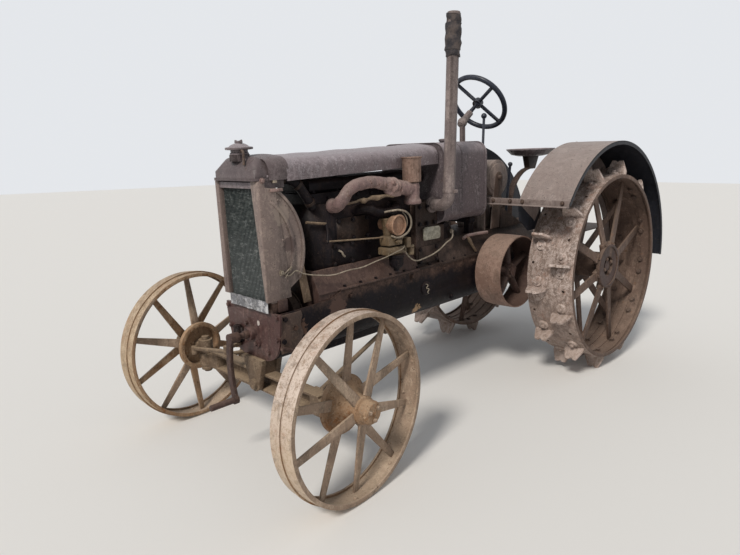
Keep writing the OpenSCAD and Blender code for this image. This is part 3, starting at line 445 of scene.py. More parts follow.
# What a few finishes add: less shine or less painted corner shade, a colour along an
# upper edge, and spots, each with its place, its reach in millimetres and its colour
EXTRAS = {
    "front_wheel_paint": {"corner_shade": 0.4},
    "oily_iron": {"shine": 0.1},
    "oily_brown": {"shine": 0.15},
    "fender_shade": {"shine": 0.15},
    "frame_iron": {"shine": 0.1, "top": (690, 770, (0.105, 0.066, 0.052)),
                   "spots": [((214, -1410, 520), 50, (0.42, 0.27, 0.15)),
                             ((214, -2020, 690), 60, (0.085, 0.052, 0.042)),
                             ((214, -2260, 640), 45, (0.10, 0.06, 0.045))]},
    "maroon_paint": {"spots": [((48, -2382, 665), 13, (0.55, 0.50, 0.46))]},
    "shroud_paint": {"spots": [((185, -2262, 1036), 40, (0.082, 0.056, 0.052)),
                               ((185, -2300, 1180), 50, (0.27, 0.215, 0.18))]},
}
FINISH = {values[0]: weathered(*values, **EXTRAS.get(values[0], {})) for values in FINISHES}


def blank_finish():
    """A pale plate whose paint has gone chalky."""
    mixer = Paint("pale_plate")
    patch = mixer.noise(30, 6, 0.7)
    colour = mixer.mix(mixer.step(patch, 0.4, 0.6), (0.20, 0.185, 0.145), (0.33, 0.31, 0.25))
    return mixer.apply(colour, 0.9 - patch * 0.4, patch, 0.5)


FINISH["pale_plate"] = blank_finish()
print("finishes:", ", ".join(sorted(FINISH)))

# %% [markdown]
# The treads are the palest surfaces: rust polished by grass and stones, with specks of
# bare metal and of earth. The specks run a little along the rim, so this finish also
# reads the angle round the wheel, which it works out from the place less the wheel's
# middle.

# %% The worn treads
def tread(name, middle, face, bare, rust, share, earth):
    """Worn steel tread round a wheel whose middle is given in metres, on the floor's frame."""
    mixer = Paint(name)
    place = mixer.add("ShaderNodeVectorMath", {"operation": "SUBTRACT"}, mixer.place, tuple(middle))
    parts = [mixer.add("ShaderNodeSeparateXYZ", None, place, out=k) for k in range(3)]
    angle = mixer.add("ShaderNodeMath", {"operation": "ARCTAN2"}, parts[1], parts[2])
    around = mixer.add("ShaderNodeCombineXYZ", None, parts[0] * 16, angle * 3.2, 0.0)
    streak = mixer.add("ShaderNodeTexNoise", None, Vector=around, Scale=3.0, Detail=9.0,
                       Roughness=0.78)
    patch = mixer.noise(110, 8, 0.72)
    blotch = mixer.noise(24, 8, 0.74)
    grain = mixer.noise(5, 6, 0.75)
    run = mixer.noise(60, 6, 0.7)
    # Polished metal, and rust between it
    shine = mixer.step(streak * 0.3 + blotch * 0.35 + grain * 0.35, 0.55 - 0.13 * share,
                       0.6 - 0.08 * share)
    colour = mixer.mix(shine, face, bare)
    rust_mask = mixer.step(patch * 0.6 + blotch * 0.4, 0.52, 0.6)
    colour = mixer.mix(rust_mask * 0.65, colour, rust)
    # Earth near the ground, then dark stains and specks, then painted shade in the corners
    low = mixer.step(mixer.level() + (patch - 0.5) * (500 * MM), 620 * MM, 300 * MM)
    colour = mixer.mix(low * 0.6, colour, mixer.mix(blotch, darker(earth, 0.7), earth))
    colour = mixer.mix(mixer.step(run, 0.53, 0.62) * 0.5, colour, darker(face, 0.55))
    dark = mixer.step(grain * 0.3 + blotch * 0.7, 0.56, 0.64)
    colour = mixer.mix(dark * 0.55, colour, darker(face, 0.45))
    # Painted shade in the wheel's own inner corners
    colour = mixer.mix(mixer.corners(40) * 0.4, colour, darker(face, 0.45))
    rough = 0.76 - shine * 0.2 + rust_mask * 0.12
    return mixer.apply(colour, rough, grain * 0.45 + blotch * 0.35 + patch * 0.2, 2.0)


# Name, middle, face, bare metal, rust, share of bare metal, earth
for values in (
        ("front_tread_left", joints["left_front_spin"]["pos_m"], (0.33, 0.24, 0.18),
         (0.60, 0.50, 0.43), (0.36, 0.21, 0.14), 0.9, (0.58, 0.44, 0.29)),
        ("front_tread_right", joints["right_front_spin"]["pos_m"], (0.33, 0.235, 0.155),
         (0.52, 0.41, 0.29), (0.34, 0.18, 0.10), 0.6, (0.50, 0.37, 0.23)),
        ("rear_tread", AXLE, (0.205, 0.148, 0.120),
         (0.50, 0.41, 0.37), (0.25, 0.125, 0.08), 0.66, (0.25, 0.18, 0.145)),
        ("lug_pale", AXLE, (0.27, 0.20, 0.165),
         (0.62, 0.52, 0.475), (0.25, 0.13, 0.085), 0.8, (0.33, 0.245, 0.20))):
    FINISH[values[0]] = tread(*values)

# %% [markdown]
# Each finished piece goes through one function: its mesh is carried to the floor's
# frame, it gets its finish, and it rides on the body that holds it. A piece that
# stands for solids of the imported model hides them here.

# %% Settle a piece
# The record has fewer slots than this file has finishes, so some finishes share one
FINISHES_OF_SLOT = {
    "dusty_paint": ("tank_paint", "cast_paint", "shroud_paint"),
    "fender_paint": ("fender_shade",),
    "oily_iron": ("frame_iron", "oily_brown"),
    "brown_iron": ("axle_iron", "stack_paint", "sump_brown"),
    "rust": ("bell_rust", "pulley_rust"),
    "bare_metal": ("brass", "steel_wire", "pale_plate"),
    "front_wheel_paint": ("front_tread_left", "front_tread_right", "hub_rust"),
    "rear_wheel_paint": ("rear_tread", "lug_pale"),
}
SLOT_OF_FINISH = {finish: slot for slot, finishes in FINISHES_OF_SLOT.items()
                  for finish in finishes}


def repaint(ob, finish, test):
    """Gives a second finish to the faces of a settled piece for which a test holds."""
    ob.data.materials.append(FINISH[finish])
    slot = len(ob.data.materials) - 1
    for polygon in ob.data.polygons:
        if test(polygon):
            polygon.material_index = slot


def settle(ob, finish, body="chassis", replaces=(), stance=STANCE, angle=38):
    """Carries a piece to its place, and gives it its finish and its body."""
    turned(ob, stance)
    ob.data.materials.clear()
    ob.data.materials.append(FINISH[finish])
    smooth(ob, angle)
    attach(ob, body)
    if replaces:
        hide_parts(*replaces)
    return ob


# %% [markdown]
# ## Castings and bars
# A casting's edges are never sharp: they catch a line of light. The solids of the
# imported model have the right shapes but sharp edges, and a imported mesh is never
# changed. So each is copied, its points merged, its flat faces dissolved, and its
# edges eased by a bevel as wide as that kind of piece has. Sheet metal gets a narrow
# one and rough castings a wide one.

# %% Copies with eased edges
BODY = {node: body for body, nodes in frame["record"]["behaviour"]["bodies"].items()
        for node in nodes}
# Solids with raised covers on a flat side. Their faces stay as triangles, because a
# dissolved face with a hole in it can fold over
COVERED = ("cylinder_block", "steering_box")


def copied(node):
    """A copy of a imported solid, merged, with its flat faces dissolved where that is safe."""
    source = frame["nodes"][node]
    ob = bpy.data.objects.new(node + "_cast", source.data.copy())
    bpy.context.collection.objects.link(ob)
    with editing(ob):
        bpy.ops.mesh.remove_doubles(threshold=MERGE)
        if node not in COVERED:
            bpy.ops.mesh.dissolve_limited(angle_limit=math.radians(0.4))
    return ob


def eased(node, width, finish, angle=38):
    """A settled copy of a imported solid, its edges eased by a width in millimetres."""
    ob = copied(node)
    if width:
        ease(ob, width)
    return settle(ob, finish, BODY[node], [node], IN_PLACE, angle)


# Each finish, and its castings with the widths of their eased edges in millimetres
CASTINGS = {
    "frame_iron": {"frame_pan": 2.5, "radiator_base": 1.5},
    "maroon_paint": {"front_plate": 3},
    "oily_iron": {"oil_sump": 5, "cylinder_block": 0, "cylinder_head": 4, "tank_bearers": 3,
                  "steering_box": 0, "pulley_drive": 2},
    "oily_brown": {"clutch_housing": 4, "transmission": 4, "seat_spring": 1.5},
    "sump_brown": {"crankcase": 5, "crank_handle": 2},
    "brown_iron": {"rear_axle": 5, "crank_pulley": 2, "fan": 0, "platform": 1, "drawbar": 3},
    "cast_paint": {"radiator_tank": 0},
    "shroud_paint": {"dash_drum": 2.5},
    "stack_paint": {"steering_post": 0, "air_stack": 0},
    "wheel_blue": {"steering_wheel": 0, "levers": 0},
    "tank_paint": {"seat": 0},
    "fender_paint": {"fender_bar": 1.5},
    "axle_iron": {"front_axle": 2.5, "axle_pivot": 5, "stay_rods": 2, "knuckle_left": 2.5,
                  "knuckle_right": 2.5, "tie_rod": 1.5, "drag_link": 1.5, "pitman_arm": 2.5},
}
for finish, widths in CASTINGS.items():
    for node, width in widths.items():
        eased(node, width, finish)
print("castings:", sum(len(widths) for widths in CASTINGS.values()))

# What stands out on the block's left side, and the drum's left end, are browner
BLOCK_COVER_X = 158 * MM
DRUM_END_X = 192.5 * MM
repaint(bpy.data.objects["cylinder_block_cast"], "oily_brown",
        lambda face: face.center.x > BLOCK_COVER_X)
repaint(bpy.data.objects["dash_drum_cast"], "brown_iron",
        lambda face: face.center.x > DRUM_END_X)

# %% [markdown]
# ## Four ways to start a piece
# Plates start as a filled circle whose points are moved to the plate's outline, and
# are extruded. Turned parts start as a profile that is spun. Bent sheet starts as a
# grid whose points are carried to the curved surface, and then gets its thickness.
# Pipes and wires start as a curve with a round bevel.

# %% Plates, turned parts, bent sheets and pipes
def arc(centre, radius, start, end, count):
    """Points of an arc in a plane, from one angle to another."""
    turns = [math.radians(start + (end - start) * k / count) for k in range(count + 1)]
    return [(centre[0] + radius * math.cos(t), centre[1] + radius * math.sin(t)) for t in turns]


def along(points, share):
    """The point at a share from 0 to 1 of a row of points, straight between them."""
    spot = share * (len(points) - 1)
    k = min(int(spot), len(points) - 2)
    rest = spot - k
    return tuple(a + (b - a) * rest for a, b in zip(points[k], points[k + 1]))


def slab(name, outline, axis, low, high, edge=1.0):
    """A plate with an outline, from low to high along an axis, all in millimetres."""
    bpy.ops.mesh.primitive_circle_add(vertices=len(outline), fill_type="NGON")
    ob = bpy.context.object
    ob.name = name
    spot = {"X": lambda a, b: mm(low, a, b), "Y": lambda a, b: mm(a, low, b),
            "Z": lambda a, b: mm(a, b, low)}[axis]
    for vertex, point in zip(ob.data.vertices, outline):
        vertex.co = spot(*point)
    push = {"X": mm(high - low, 0, 0), "Y": mm(0, high - low, 0), "Z": mm(0, 0, high - low)}[axis]
    with editing(ob):
        bpy.ops.mesh.extrude_region_move(TRANSFORM_OT_translate={"value": push})
        bpy.ops.mesh.select_all(action="SELECT")
        bpy.ops.mesh.normals_make_consistent(inside=False)
    if edge:
        ease(ob, edge)
    return ob


def block(name, low, high, edge=2.0):
    """A box between two corners, with eased edges."""
    outline = [(low[0], low[1]), (high[0], low[1]), (high[0], high[1]), (low[0], high[1])]
    return slab(name, outline, "Z", low[2], high[2], edge)


def lathe(name, profile, steps=64):
    """A profile of radius and height in millimetres, spun round the Z axis."""
    bpy.ops.mesh.primitive_plane_add(size=0.01)
    ob = bpy.context.object
    ob.name = name
    with editing(ob):
        bpy.ops.mesh.merge(type="CENTER")
        bpy.ops.transform.translate(value=mm(profile[0][0], 0, profile[0][1]))
        for before, after in zip(profile, profile[1:]):
            shift = mm(after[0] - before[0], 0, after[1] - before[1])
            bpy.ops.mesh.extrude_region_move(TRANSFORM_OT_translate={"value": shift})
        bpy.ops.mesh.select_all(action="SELECT")
        bpy.ops.mesh.spin(steps=steps, angle=math.tau, center=(0, 0, 0), axis=(0, 0, 1))
        bpy.ops.mesh.select_all(action="SELECT")
        bpy.ops.mesh.remove_doubles(threshold=MERGE)
        bpy.ops.mesh.normals_make_consistent(inside=False)
    return ob


def bent_sheet(name, columns, rows, shape, thickness, closed=False, even=True):
    """A sheet whose points go where shape(u, v) says, u and v from 0 to 1, in millimetres."""
    bpy.ops.mesh.primitive_grid_add(x_subdivisions=columns, y_subdivisions=rows, size=1)
    ob = bpy.context.object
    ob.name = name
    for vertex in ob.data.vertices:
        vertex.co = mm(*shape(vertex.co.x + 0.5, vertex.co.y + 0.5))
    if closed:
        outward(ob)
    if thickness:
        finish_modifier(ob, "SOLIDIFY", thickness=thickness * MM, offset=-1.0, use_even_offset=even)
        outward(ob)
    return ob


def pipe(name, points, radius, sides=8, steps=10, radii=None):
    """A bent pipe or wire through points, smooth at its bends and closed at its ends."""
    bpy.ops.curve.primitive_bezier_curve_add()
    ob = bpy.context.object
    ob.name = name
    curve = ob.data
    curve.splines.clear()
    spline = curve.splines.new("BEZIER")
    spline.bezier_points.add(len(points) - 1)
    for k, (knot, point) in enumerate(zip(spline.bezier_points, points)):
        knot.co = mm(*point)
        knot.handle_left_type = knot.handle_right_type = "AUTO"
        knot.radius = radii[k] if radii else 1.0
    curve.dimensions = "3D"
    curve.bevel_depth = radius * MM
    curve.bevel_resolution = sides // 2
    curve.resolution_u = steps
    curve.use_fill_caps = True
    alone(ob)
    bpy.ops.object.convert(target="MESH")
    return outward(bpy.context.object)


def roughen(ob, size, depth, seed=0.0):
    """Moves points along their normals by noise, for cast skin and dents."""
    ob.data.update()
    moves = [(v.co.copy(), v.normal.copy()) for v in ob.data.vertices]
    for vertex, (place, normal) in zip(ob.data.vertices, moves):
        push = noise.noise(place / (size * MM) + Vector((seed, seed, seed)))
        vertex.co = place + normal * push * depth * MM
    return ob


# %% [markdown]
# Bolts hold the whole machine together, and their rows say where its parts meet. One
# head is modelled: a six-sided cylinder with a washer under it and its top edge
# turned down. It is copied to every place, each at its own turn.

# %% Bolts and rivets
# The heads' turns are random, and the same each time the file runs
random.seed(7)


def bolt_head(radius, washer=True):
    """A bolt's head with its foot at the origin, its size in millimetres."""
    bpy.ops.mesh.primitive_cylinder_add(vertices=6, radius=radius * MM, depth=radius * 0.9 * MM,
                                        location=(0, 0, radius * 0.45 * MM))
    head = turned(bpy.context.object, IN_PLACE)
    with editing(head):
        choose("FACE", lambda face: face.normal.z > 0.9)
        bpy.ops.mesh.inset(thickness=radius * 0.16 * MM)
        bpy.ops.transform.translate(value=(0, 0, radius * 0.1 * MM))
    if not washer:
        return head
    bpy.ops.mesh.primitive_cylinder_add(vertices=16, radius=radius * 1.35 * MM,
                                        depth=radius * 0.3 * MM, location=(0, 0, radius * 0.1 * MM))
    return joined("bolt_head", [head, bpy.context.object])


def rivet_head(radius):
    """A low round head."""
    profile = [(radius, -0.5)] + [(radius * math.cos(t), radius * 0.55 * math.sin(t))
                                  for t in (0, 0.5, 1.0)] + [(0, radius * 0.55)]
    return lathe("rivet_head", profile, 10)


def bolts(name, places, radius, finish, body="chassis", stance=STANCE, head=None):
    """Bolts at places, each a point and the direction that its head faces."""
    master = head or bolt_head(radius)
    ob = spread(name, master, [at(point, way, random.uniform(0, 60)) for point, way in places])
    return settle(ob, finish, body, (), stance, 30)


def bolt_circle(x, radius, turns, middle=(0, 0)):
    """Places for bolts that face left, round an axis along x, at turns in radians."""
    return [((x, middle[0] + radius * math.cos(t), middle[1] + radius * math.sin(t)), (1, 0, 0))
            for t in turns]


# %% [markdown]
# ## The rear wheels
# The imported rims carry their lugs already. Each copy is drilled with the small holes
# between the lugs, gets eased edges, and then what the camera sees up close: shallow
# bands inside the rim, and the round heads of the lug bolts on both ears of each lug,
# with their nuts inside. The right wheel's pieces are the left one's mirrored, so
# their normals are recalculated.

# %% Rims, bands and lug bolts
# From the middle line out to a rear wheel's middle
WHEEL_X = 575
LUGS = 12
# Each row of lugs, and of holes: its place across the rim, its angle past the lowest point
LUG_ROWS = ((76, -7.5), (-76, 7.5))
HOLE_ROWS = ((94, 7.5), (-118, -7.5))
HOLE_R = 9
# Bands inside the rim: radii, and for each its place across and half its width
BAND_R = (595, 600.5)
BANDS = ((-100, 26), (-34, 14), (34, 14), (100, 26))
# Half the angle between a lug's two ears, seen from the axle
EAR_LEAN = 4.4
HUB_CORE_R = 62


def off_axle(matrix, low, high=math.inf):
    """A test for faces whose distance from a wheel's axle lies in a range of millimetres."""
    back = matrix.inverted()

    def test(polygon):
        place = back @ polygon.center
        return low * MM < math.hypot(place.y, place.z) < high * MM
    return test


def mirrored(side):
    """The mirror for the right side, and nothing for the left."""
    return MIRROR if side < 0 else IN_PLACE


def rear_wheel_matrix(side):
    """From a left rear wheel's own frame, its middle at the origin, to a side of the tractor."""
    return STANCE @ move(side * WHEEL_X, 0, REAR_R) @ mirrored(side)


def round_wheel(x, radius, degrees):
    """A point of a wheel, in its own frame, and the outward direction there."""
    turn = math.radians(degrees)
    way = Vector((0, -math.sin(turn), math.cos(turn)))
    return Vector((x, 0, 0)) + way * radius, way


def wheel_angles(rows):
    """Where each row's lugs or holes are: the place across the rim, and the angle."""
    for x, phase in rows:
        for k in range(LUGS):
            yield x, 180 - math.degrees(TILT) + phase + 360 / LUGS * k


def lug_ear():
    """The round boss at each end of a lug's foot, with its bolt."""
    boss = lathe("boss", [(33, -4), (33, 5), (29, 10), (17, 10), (16, 12), (0, 12)], 18)
    bolt = turned(bolt_head(13, washer=False), move(0, 0, 11))
    return joined("lug_ear", [boss, bolt])


def drilled(ob, matrix):
    """Drills the small holes through a rim, between its lugs."""
    places = []
    for x, angle in wheel_angles(HOLE_ROWS):
        point, way = round_wheel(x, REAR_R - 5, angle)
        places.append(matrix @ at(point, way))
    bpy.ops.mesh.primitive_cylinder_add(vertices=12, radius=HOLE_R * MM, depth=60 * MM)
    drill = spread("drill", bpy.context.object, places)
    finish_modifier(ob, "BOOLEAN", operation="DIFFERENCE", solver="EXACT", object=drill)
    bpy.data.objects.remove(drill)
    return ob


def rim_bands(name):
    """The shallow bands inside a rim, spun round Z and then laid along X."""
    low, high = BAND_R
    bands = [lathe("band", [(high, x - w), (low, x - w), (low, x + w), (high, x + w)], 96)
             for x, w in BANDS]
    return turned(joined(name, bands), rotation(90, "Y"))


for side, word in SIDES:
    matrix = rear_wheel_matrix(side)
    body = word + "_rear_wheel"
    rim = drilled(copied(f"rear_rim_{word}"), matrix)
    settle(ease(rim, 2), "rear_wheel_paint", body, [f"rear_rim_{word}"], IN_PLACE, 34)
    repaint(rim, "rear_tread", off_axle(matrix, REAR_R - 1.5))
    repaint(rim, "lug_pale", off_axle(matrix, REAR_R + 16))
    spokes = eased(f"rear_spokes_{word}", 3, "rear_wheel_paint", 34)
    repaint(spokes, "sump_brown", off_axle(matrix, 0, HUB_CORE_R))
    bands = outward(turned(rim_bands(f"rim_bands_{word}"), matrix))
    settle(bands, "rear_wheel_paint", body, (), IN_PLACE)
    ears, nuts = [], []
    for x, angle in wheel_angles(LUG_ROWS):
        for lean in (-EAR_LEAN, EAR_LEAN):
            for reach, sign, found in ((REAR_R + 3, 1, ears), (BAND_R[0], -1, nuts)):
                point, way = round_wheel(x, reach, angle + lean)
                found.append((point, way * sign))
    outward(bolts(f"lug_ears_{word}", ears, 11, "lug_pale", body, matrix, lug_ear()))
    outward(bolts(f"lug_nuts_{word}", nuts, 15, "brown_iron", body, matrix))
print("lug bolts in each wheel:", LUGS * 4)

# %% [markdown]
# The hub's outer face is a dished casting with a thick raised ring. Blocky sockets
# stand round it, one for each flat spoke, and a bolt goes through each. Four more
# bolts stand round the hub's middle.

# %% Sockets round the rear hubs
SPOKES = 8
SPOKE_TURN = -27
# Two corners of the first socket, in the wheel's own frame
SOCKET = ((62, -33, 108), (92, 33, 168))
SOCKET_BOLT_R = 150
for side, word in SIDES:
    matrix = rear_wheel_matrix(side)
    body = word + "_rear_wheel"
    sockets, places = [], []
    for k in range(SPOKES):
        turn = rotation(360 / SPOKES * k + SPOKE_TURN, "X")
        sockets.append(turned(block("socket", *SOCKET, 5), turn))
        places.append((turn @ Vector((SOCKET[1][0], 0, SOCKET_BOLT_R)), (1, 0, 0)))
    sockets = outward(turned(joined(f"hub_sockets_{word}", sockets), matrix))
    settle(sockets, "rear_wheel_paint", body, (), IN_PLACE)
    places += bolt_circle(91, 52, (0.4, 1.97, 3.54, 5.11))
    outward(bolts(f"hub_bolts_{word}", places, 11, "rear_wheel_paint", body, matrix))

# %% [markdown]
# ## The front wheels
# The same way is used in front: eased copies, and the rivets that clinch the guide
# band. The tread, the hub and the rest have three finishes, so the copy gets three
# materials, and their faces are found by how far they lie from the axle.

# %% Treads and hubs in front
# A kingpin: out from the middle line, and ahead of the rear axle
KINGPIN = (540, 2354)
# From a kingpin out to its wheel's middle
KINGPIN_TO_WHEEL = 116
FRONT_R = 407
FRONT_HUB_R = 150
# The front wheels rest steered to the left by this many degrees
STEER_REST = 6.2
RIVETS = 10


def front_wheel_matrix(side):
    """From a left front wheel's own frame to a side of the tractor, steered as at rest."""
    return (STANCE @ move(side * KINGPIN[0], -KINGPIN[1], 0) @ rotation(STEER_REST, "Z")
            @ move(side * KINGPIN_TO_WHEEL, 0, FRONT_R) @ mirrored(side))


for side, word in SIDES:
    matrix = front_wheel_matrix(side)
    body = word + "_front_wheel"
    wheel = eased(f"front_wheel_{word}", 2, "front_wheel_paint", 34)
    repaint(wheel, f"front_tread_{word}", off_axle(matrix, FRONT_R - 4))
    repaint(wheel, "hub_rust", off_axle(matrix, 0, FRONT_HUB_R))
    places = bolt_circle(113, 30, (0.6, 2.7, 4.8))
    outward(bolts(f"hub_cap_bolts_{word}", places, 8, "front_wheel_paint", body, matrix))
    rivets = []
    for k in range(RIVETS):
        for x, phase in ((-30, 6), (24, -6)):
            point, way = round_wheel(x, FRONT_R - 9.5, 360 / RIVETS * k + phase)
            rivets.append((point, -way))
    outward(bolts(f"rim_rivets_{word}", rivets, 7, "front_wheel_paint", body, matrix,
                  rivet_head(9)))

# %% [markdown]
# ## Sheet metal
# The hood is one thin sheet, bent over the engine and dented by a century of knocks.
# A grid is carried onto the hood's section, row by row, and pushed in here and there
# by noise before it gets its thickness. The lower edges keep their line.

# %% The hood
HOOD = {"half": 200, "height": 112, "y": (-2267.5, -1212.5), "z": 1327,
        "slope": math.tan(math.radians(1.3)), "corner": 60, "crown": 12}


def hood_foot(y):
    """The height of the hood's lower edge, which rises a little towards the back."""
    return HOOD["z"] + (y - HOOD["y"][0]) * HOOD["slope"]


def hood_section(u):
    """A point of the hood's front view: a side, a round shoulder, and a low crown across."""
    corner, crown = HOOD["corner"], HOOD["crown"]
    half = HOOD["half"] - corner
    crown_r = (half * half + crown * crown) / (2 * crown)
    shoulder = arc((half, HOOD["height"] - crown - corner), corner, 0, 83, 10)
    right = [(HOOD["half"], 0)] + shoulder
    swing = math.degrees(math.asin(half / crown_r))
    over = arc((0, HOOD["height"] - crown_r), crown_r, 90 - swing, 90 + swing, 18)[1:-1]
    left = [(-x, z) for x, z in reversed(right)]
    return along(right + over + left, u)


def hood_shape(u, v):
    """The section carried along the hood, with dents that fade out towards its edges."""
    x, z = hood_section(u)
    y = HOOD["y"][0] + (HOOD["y"][1] - HOOD["y"][0]) * v
    hold = math.sin(math.pi * min(max(u, 0), 1)) ** 0.5 * min(1, v * 7, (1 - v) * 7)
    broad = noise.noise(Vector((x / 170, y / 210, 3.1))) * 5
    small = noise.noise(Vector((x / 60, y / 75, 9.4))) * 1.6
    inward = Vector((x * 0.35, 0, z - 40)).normalized()
    push = (broad + small - 2.5) * hold
    return x + inward.x * push, y, hood_foot(y) + z + inward.z * push


hood = bent_sheet("hood_sheet", 44, 60, hood_shape, 3)
settle(hood, "dusty_paint", replaces=["hood"])
edge = []
for s in (-1, 1):
    for y in range(-2250, -1220, 127):
        edge.append(((s * HOOD["half"], y, hood_foot(y) + 14), (s, 0, 0)))
bolts("hood_rivets", edge, 6, "dusty_paint", head=rivet_head(7))


def collar_shape(u, v):
    """The cast tank's rear end, which swells to the hood's own section."""
    x, z = hood_section(u)
    share = 0.9 + 0.085 * math.sin(math.pi / 2 * v)
    return x * share, HOOD["y"][0] - 84 + 96 * v, HOOD["z"] + 8 + z * share * 0.985


settle(bent_sheet("tank_collar", 44, 10, collar_shape, 5), "cast_paint")

# %% [markdown]
# A fender is rolled sheet with a folded outer edge. Seen from the side it is an arc
# about a point just ahead of the axle, so its grid is carried onto that arc. The
# folded edge and the skirt on the wheel's inner side are grids too, and the three are
# joined. Its underside, its faces that turn to the tractor's middle and its folded edge
# get a near black painted shade. A small plate, all in that painted shade, carries the
# skirt on past the arc's front end.

# %% The fenders
FENDER = {"y": -62, "z": 637, "r": 795, "x": (416, 745), "arc": (-3.75, 144.97)}
SKIRT_X = (412, 414)
SKIRT_R = 561
CORNER_X = (410, 414)
CORNER = ((-711, 1092), (-450, 1080), (-446, 1000), (-480, 905), (-600, 908), (-700, 985))
# From here outwards the sheet is its folded edge
FOLD_X = 738.5 * MM


def fender_part(low, high, inner, outer):
    """A sheet from one side to the other: across in x, or down in radius, along the arc."""
    start, end = FENDER["arc"]

    def shape(u, v):
        angle = math.radians(start + (end - start) * v)
        x = low + (high - low) * u
        ripple = noise.noise(Vector((x / 140, v * 7, low / 50))) * 3.2
        r = inner + (outer - inner) * u
        wave = ripple * math.sin(math.pi * u) ** 0.5
        return (x, FENDER["y"] + (r + wave) * math.cos(angle),
                FENDER["z"] + (r + wave) * math.sin(angle))
    return shape


def on_fender(x, degrees):
    """A place on the fender's outside, and the direction that faces outwards there."""
    angle = math.radians(degrees)
    way = (0, math.cos(angle), math.sin(angle))
    reach = FENDER["r"] + 1
    return (x, FENDER["y"] + reach * way[1], FENDER["z"] + reach * way[2]), way


def fender_sheet(name):
    """A left fender: its top, its folded edge and its skirt."""
    r = FENDER["r"]
    inner, outer = FENDER["x"]
    parts = [bent_sheet("top", 14, 88, fender_part(inner, outer, r - 1, r - 1), 3.5),
             bent_sheet("lip", 3, 88, fender_part(outer - 1, outer - 3, r - 2, r - 22), 3),
             bent_sheet("skirt", 6, 88, fender_part(SKIRT_X[1], SKIRT_X[0], r - 2, SKIRT_R), 3.5)]
    return joined(name, parts)


for side, word in SIDES:
    fender = fender_sheet(f"fender_sheet_{word}")
    if side < 0:
        outward(turned(fender, MIRROR))
    settle(fender, "fender_paint", replaces=[f"fender_{word}"])
    middle = STANCE @ mm(0, FENDER["y"], FENDER["z"])
    # Painted shade: the faces under the arc, beyond the fold and turned inwards get a near black
    repaint(fender, "fender_shade", lambda face: face.normal.dot(middle - face.center) > 0.5
            or side * face.center.x > FOLD_X or side * face.normal.x < -0.9)
    low, high = sorted(side * x for x in CORNER_X)
    # The corner plate is a dark sheet of painted shade under the fender's front end
    settle(slab(f"skirt_corner_{word}", CORNER, "X", low, high), "fender_shade")

places = []
for s in (-1, 1):
    places += [on_fender(s * x, 143.2) for x in (470, 560, 650, 715)]
    places += [on_fender(s * 431, 4 + 12 * k) for k in range(12)]
bolts("fender_rivets", places, 7, "fender_paint", head=rivet_head(8))
bar = frame["nodes"]["fender_bar"].data.vertices
BAR_Y = 1000 * min((STANCE.inverted() @ vertex.co).y for vertex in bar) + 30
places = [((s * x, BAR_Y, 1100), (0, -1, 0)) for s in (-1, 1) for x in (240, 361, 446, 706)]
bolts("fender_bar_bolts", places, 10, "brown_iron")

# %% [markdown]
# The fuel tank is a drum with rounded corners, a rolled seam near each end and a flat
# band round its middle. Its section is carried round a grid whose two sides meet, and
# the ends are closed and dished in a little, as a soldered tank's are.

# %% The fuel tank
TANK = {"half": 240, "height": 456, "z": 1006, "y": (-1212, -798), "corner": 70, "band_y": -1035}


def round_box(u, half, low, high, radius):
    """A point of a box's outline with round corners, u from 0 to 1."""
    corners = ((half - radius, high - radius, 0), (-half + radius, high - radius, 90),
               (-half + radius, low + radius, 180), (half - radius, low + radius, 270))
    points = [p for x, z, start in corners for p in arc((x, z), radius, start, start + 90, 8)]
    return along(points + points[:1], u)


def tank_stations():
    """Along the tank: the grid's share, how far in the section lies there, and the place."""
    front, back = TANK["y"]
    band = TANK["band_y"]
    return ((0.0, 90, front + 12), (0.12, 22, front + 9), (0.15, 4, front + 7),
            (0.17, -4, front), (0.2, -6, front + 4), (0.23, -5, front + 13),
            (0.26, 0.5, front + 16), (0.5, 0, band - 9), (0.52, -3.5, band - 6),
            (0.54, -3.5, band + 6), (0.56, 0, band + 9), (0.74, 0.5, back - 16),
            (0.77, -5, back - 13), (0.8, -6, back - 4), (0.83, -4, back),
            (0.85, 4, back - 7), (0.88, 22, back - 9), (1.0, 90, back - 12))


def tank_shape(u, v):
    """Round the section, and along it: end, seam, body, band, body, seam, end."""
    stations = tank_stations()
    for (v0, i0, y0), (v1, i1, y1) in zip(stations, stations[1:]):
        if v <= v1 + 1e-9:
            share = (v - v0) / (v1 - v0)
            inset, y = i0 + (i1 - i0) * share, y0 + (y1 - y0) * share
            break
    x, z = round_box(u, TANK["half"] - inset, TANK["z"] + 6 + inset,
                     TANK["z"] + TANK["height"] - inset, max(TANK["corner"] - inset, 12))
    push = noise.noise(Vector((x / 150, y / 150, z / 150))) * 3
    return x * (1 + push / 400), y, z + push


tank = bent_sheet("fuel_tank_drum", 72, 100, tank_shape, 0, closed=True)
with editing(tank):
    choose("EDGE", lambda edge: edge.is_boundary)
    bpy.ops.mesh.fill_holes(sides=0)
    bpy.ops.mesh.select_all(action="SELECT")
    bpy.ops.mesh.normals_make_consistent(inside=False)
filler = lathe("filler", [(0, 0), (40, 0), (40, 12), (46, 14), (46, 26), (30, 30), (0, 30)], 32)
turned(filler, move(0, -885, TANK["z"] + TANK["height"] - 3))
settle(joined("fuel_tank_drum", [tank, filler]), "tank_paint", replaces=["fuel_tank"])

# %% [markdown]
# ## The radiator
# The core is a block of upright tubes and thin fins. The tubes are in the packed
# solid, and the fins are far too fine to model, so they are bumps a few
# millimetres apart, broken where the core was scuffed.

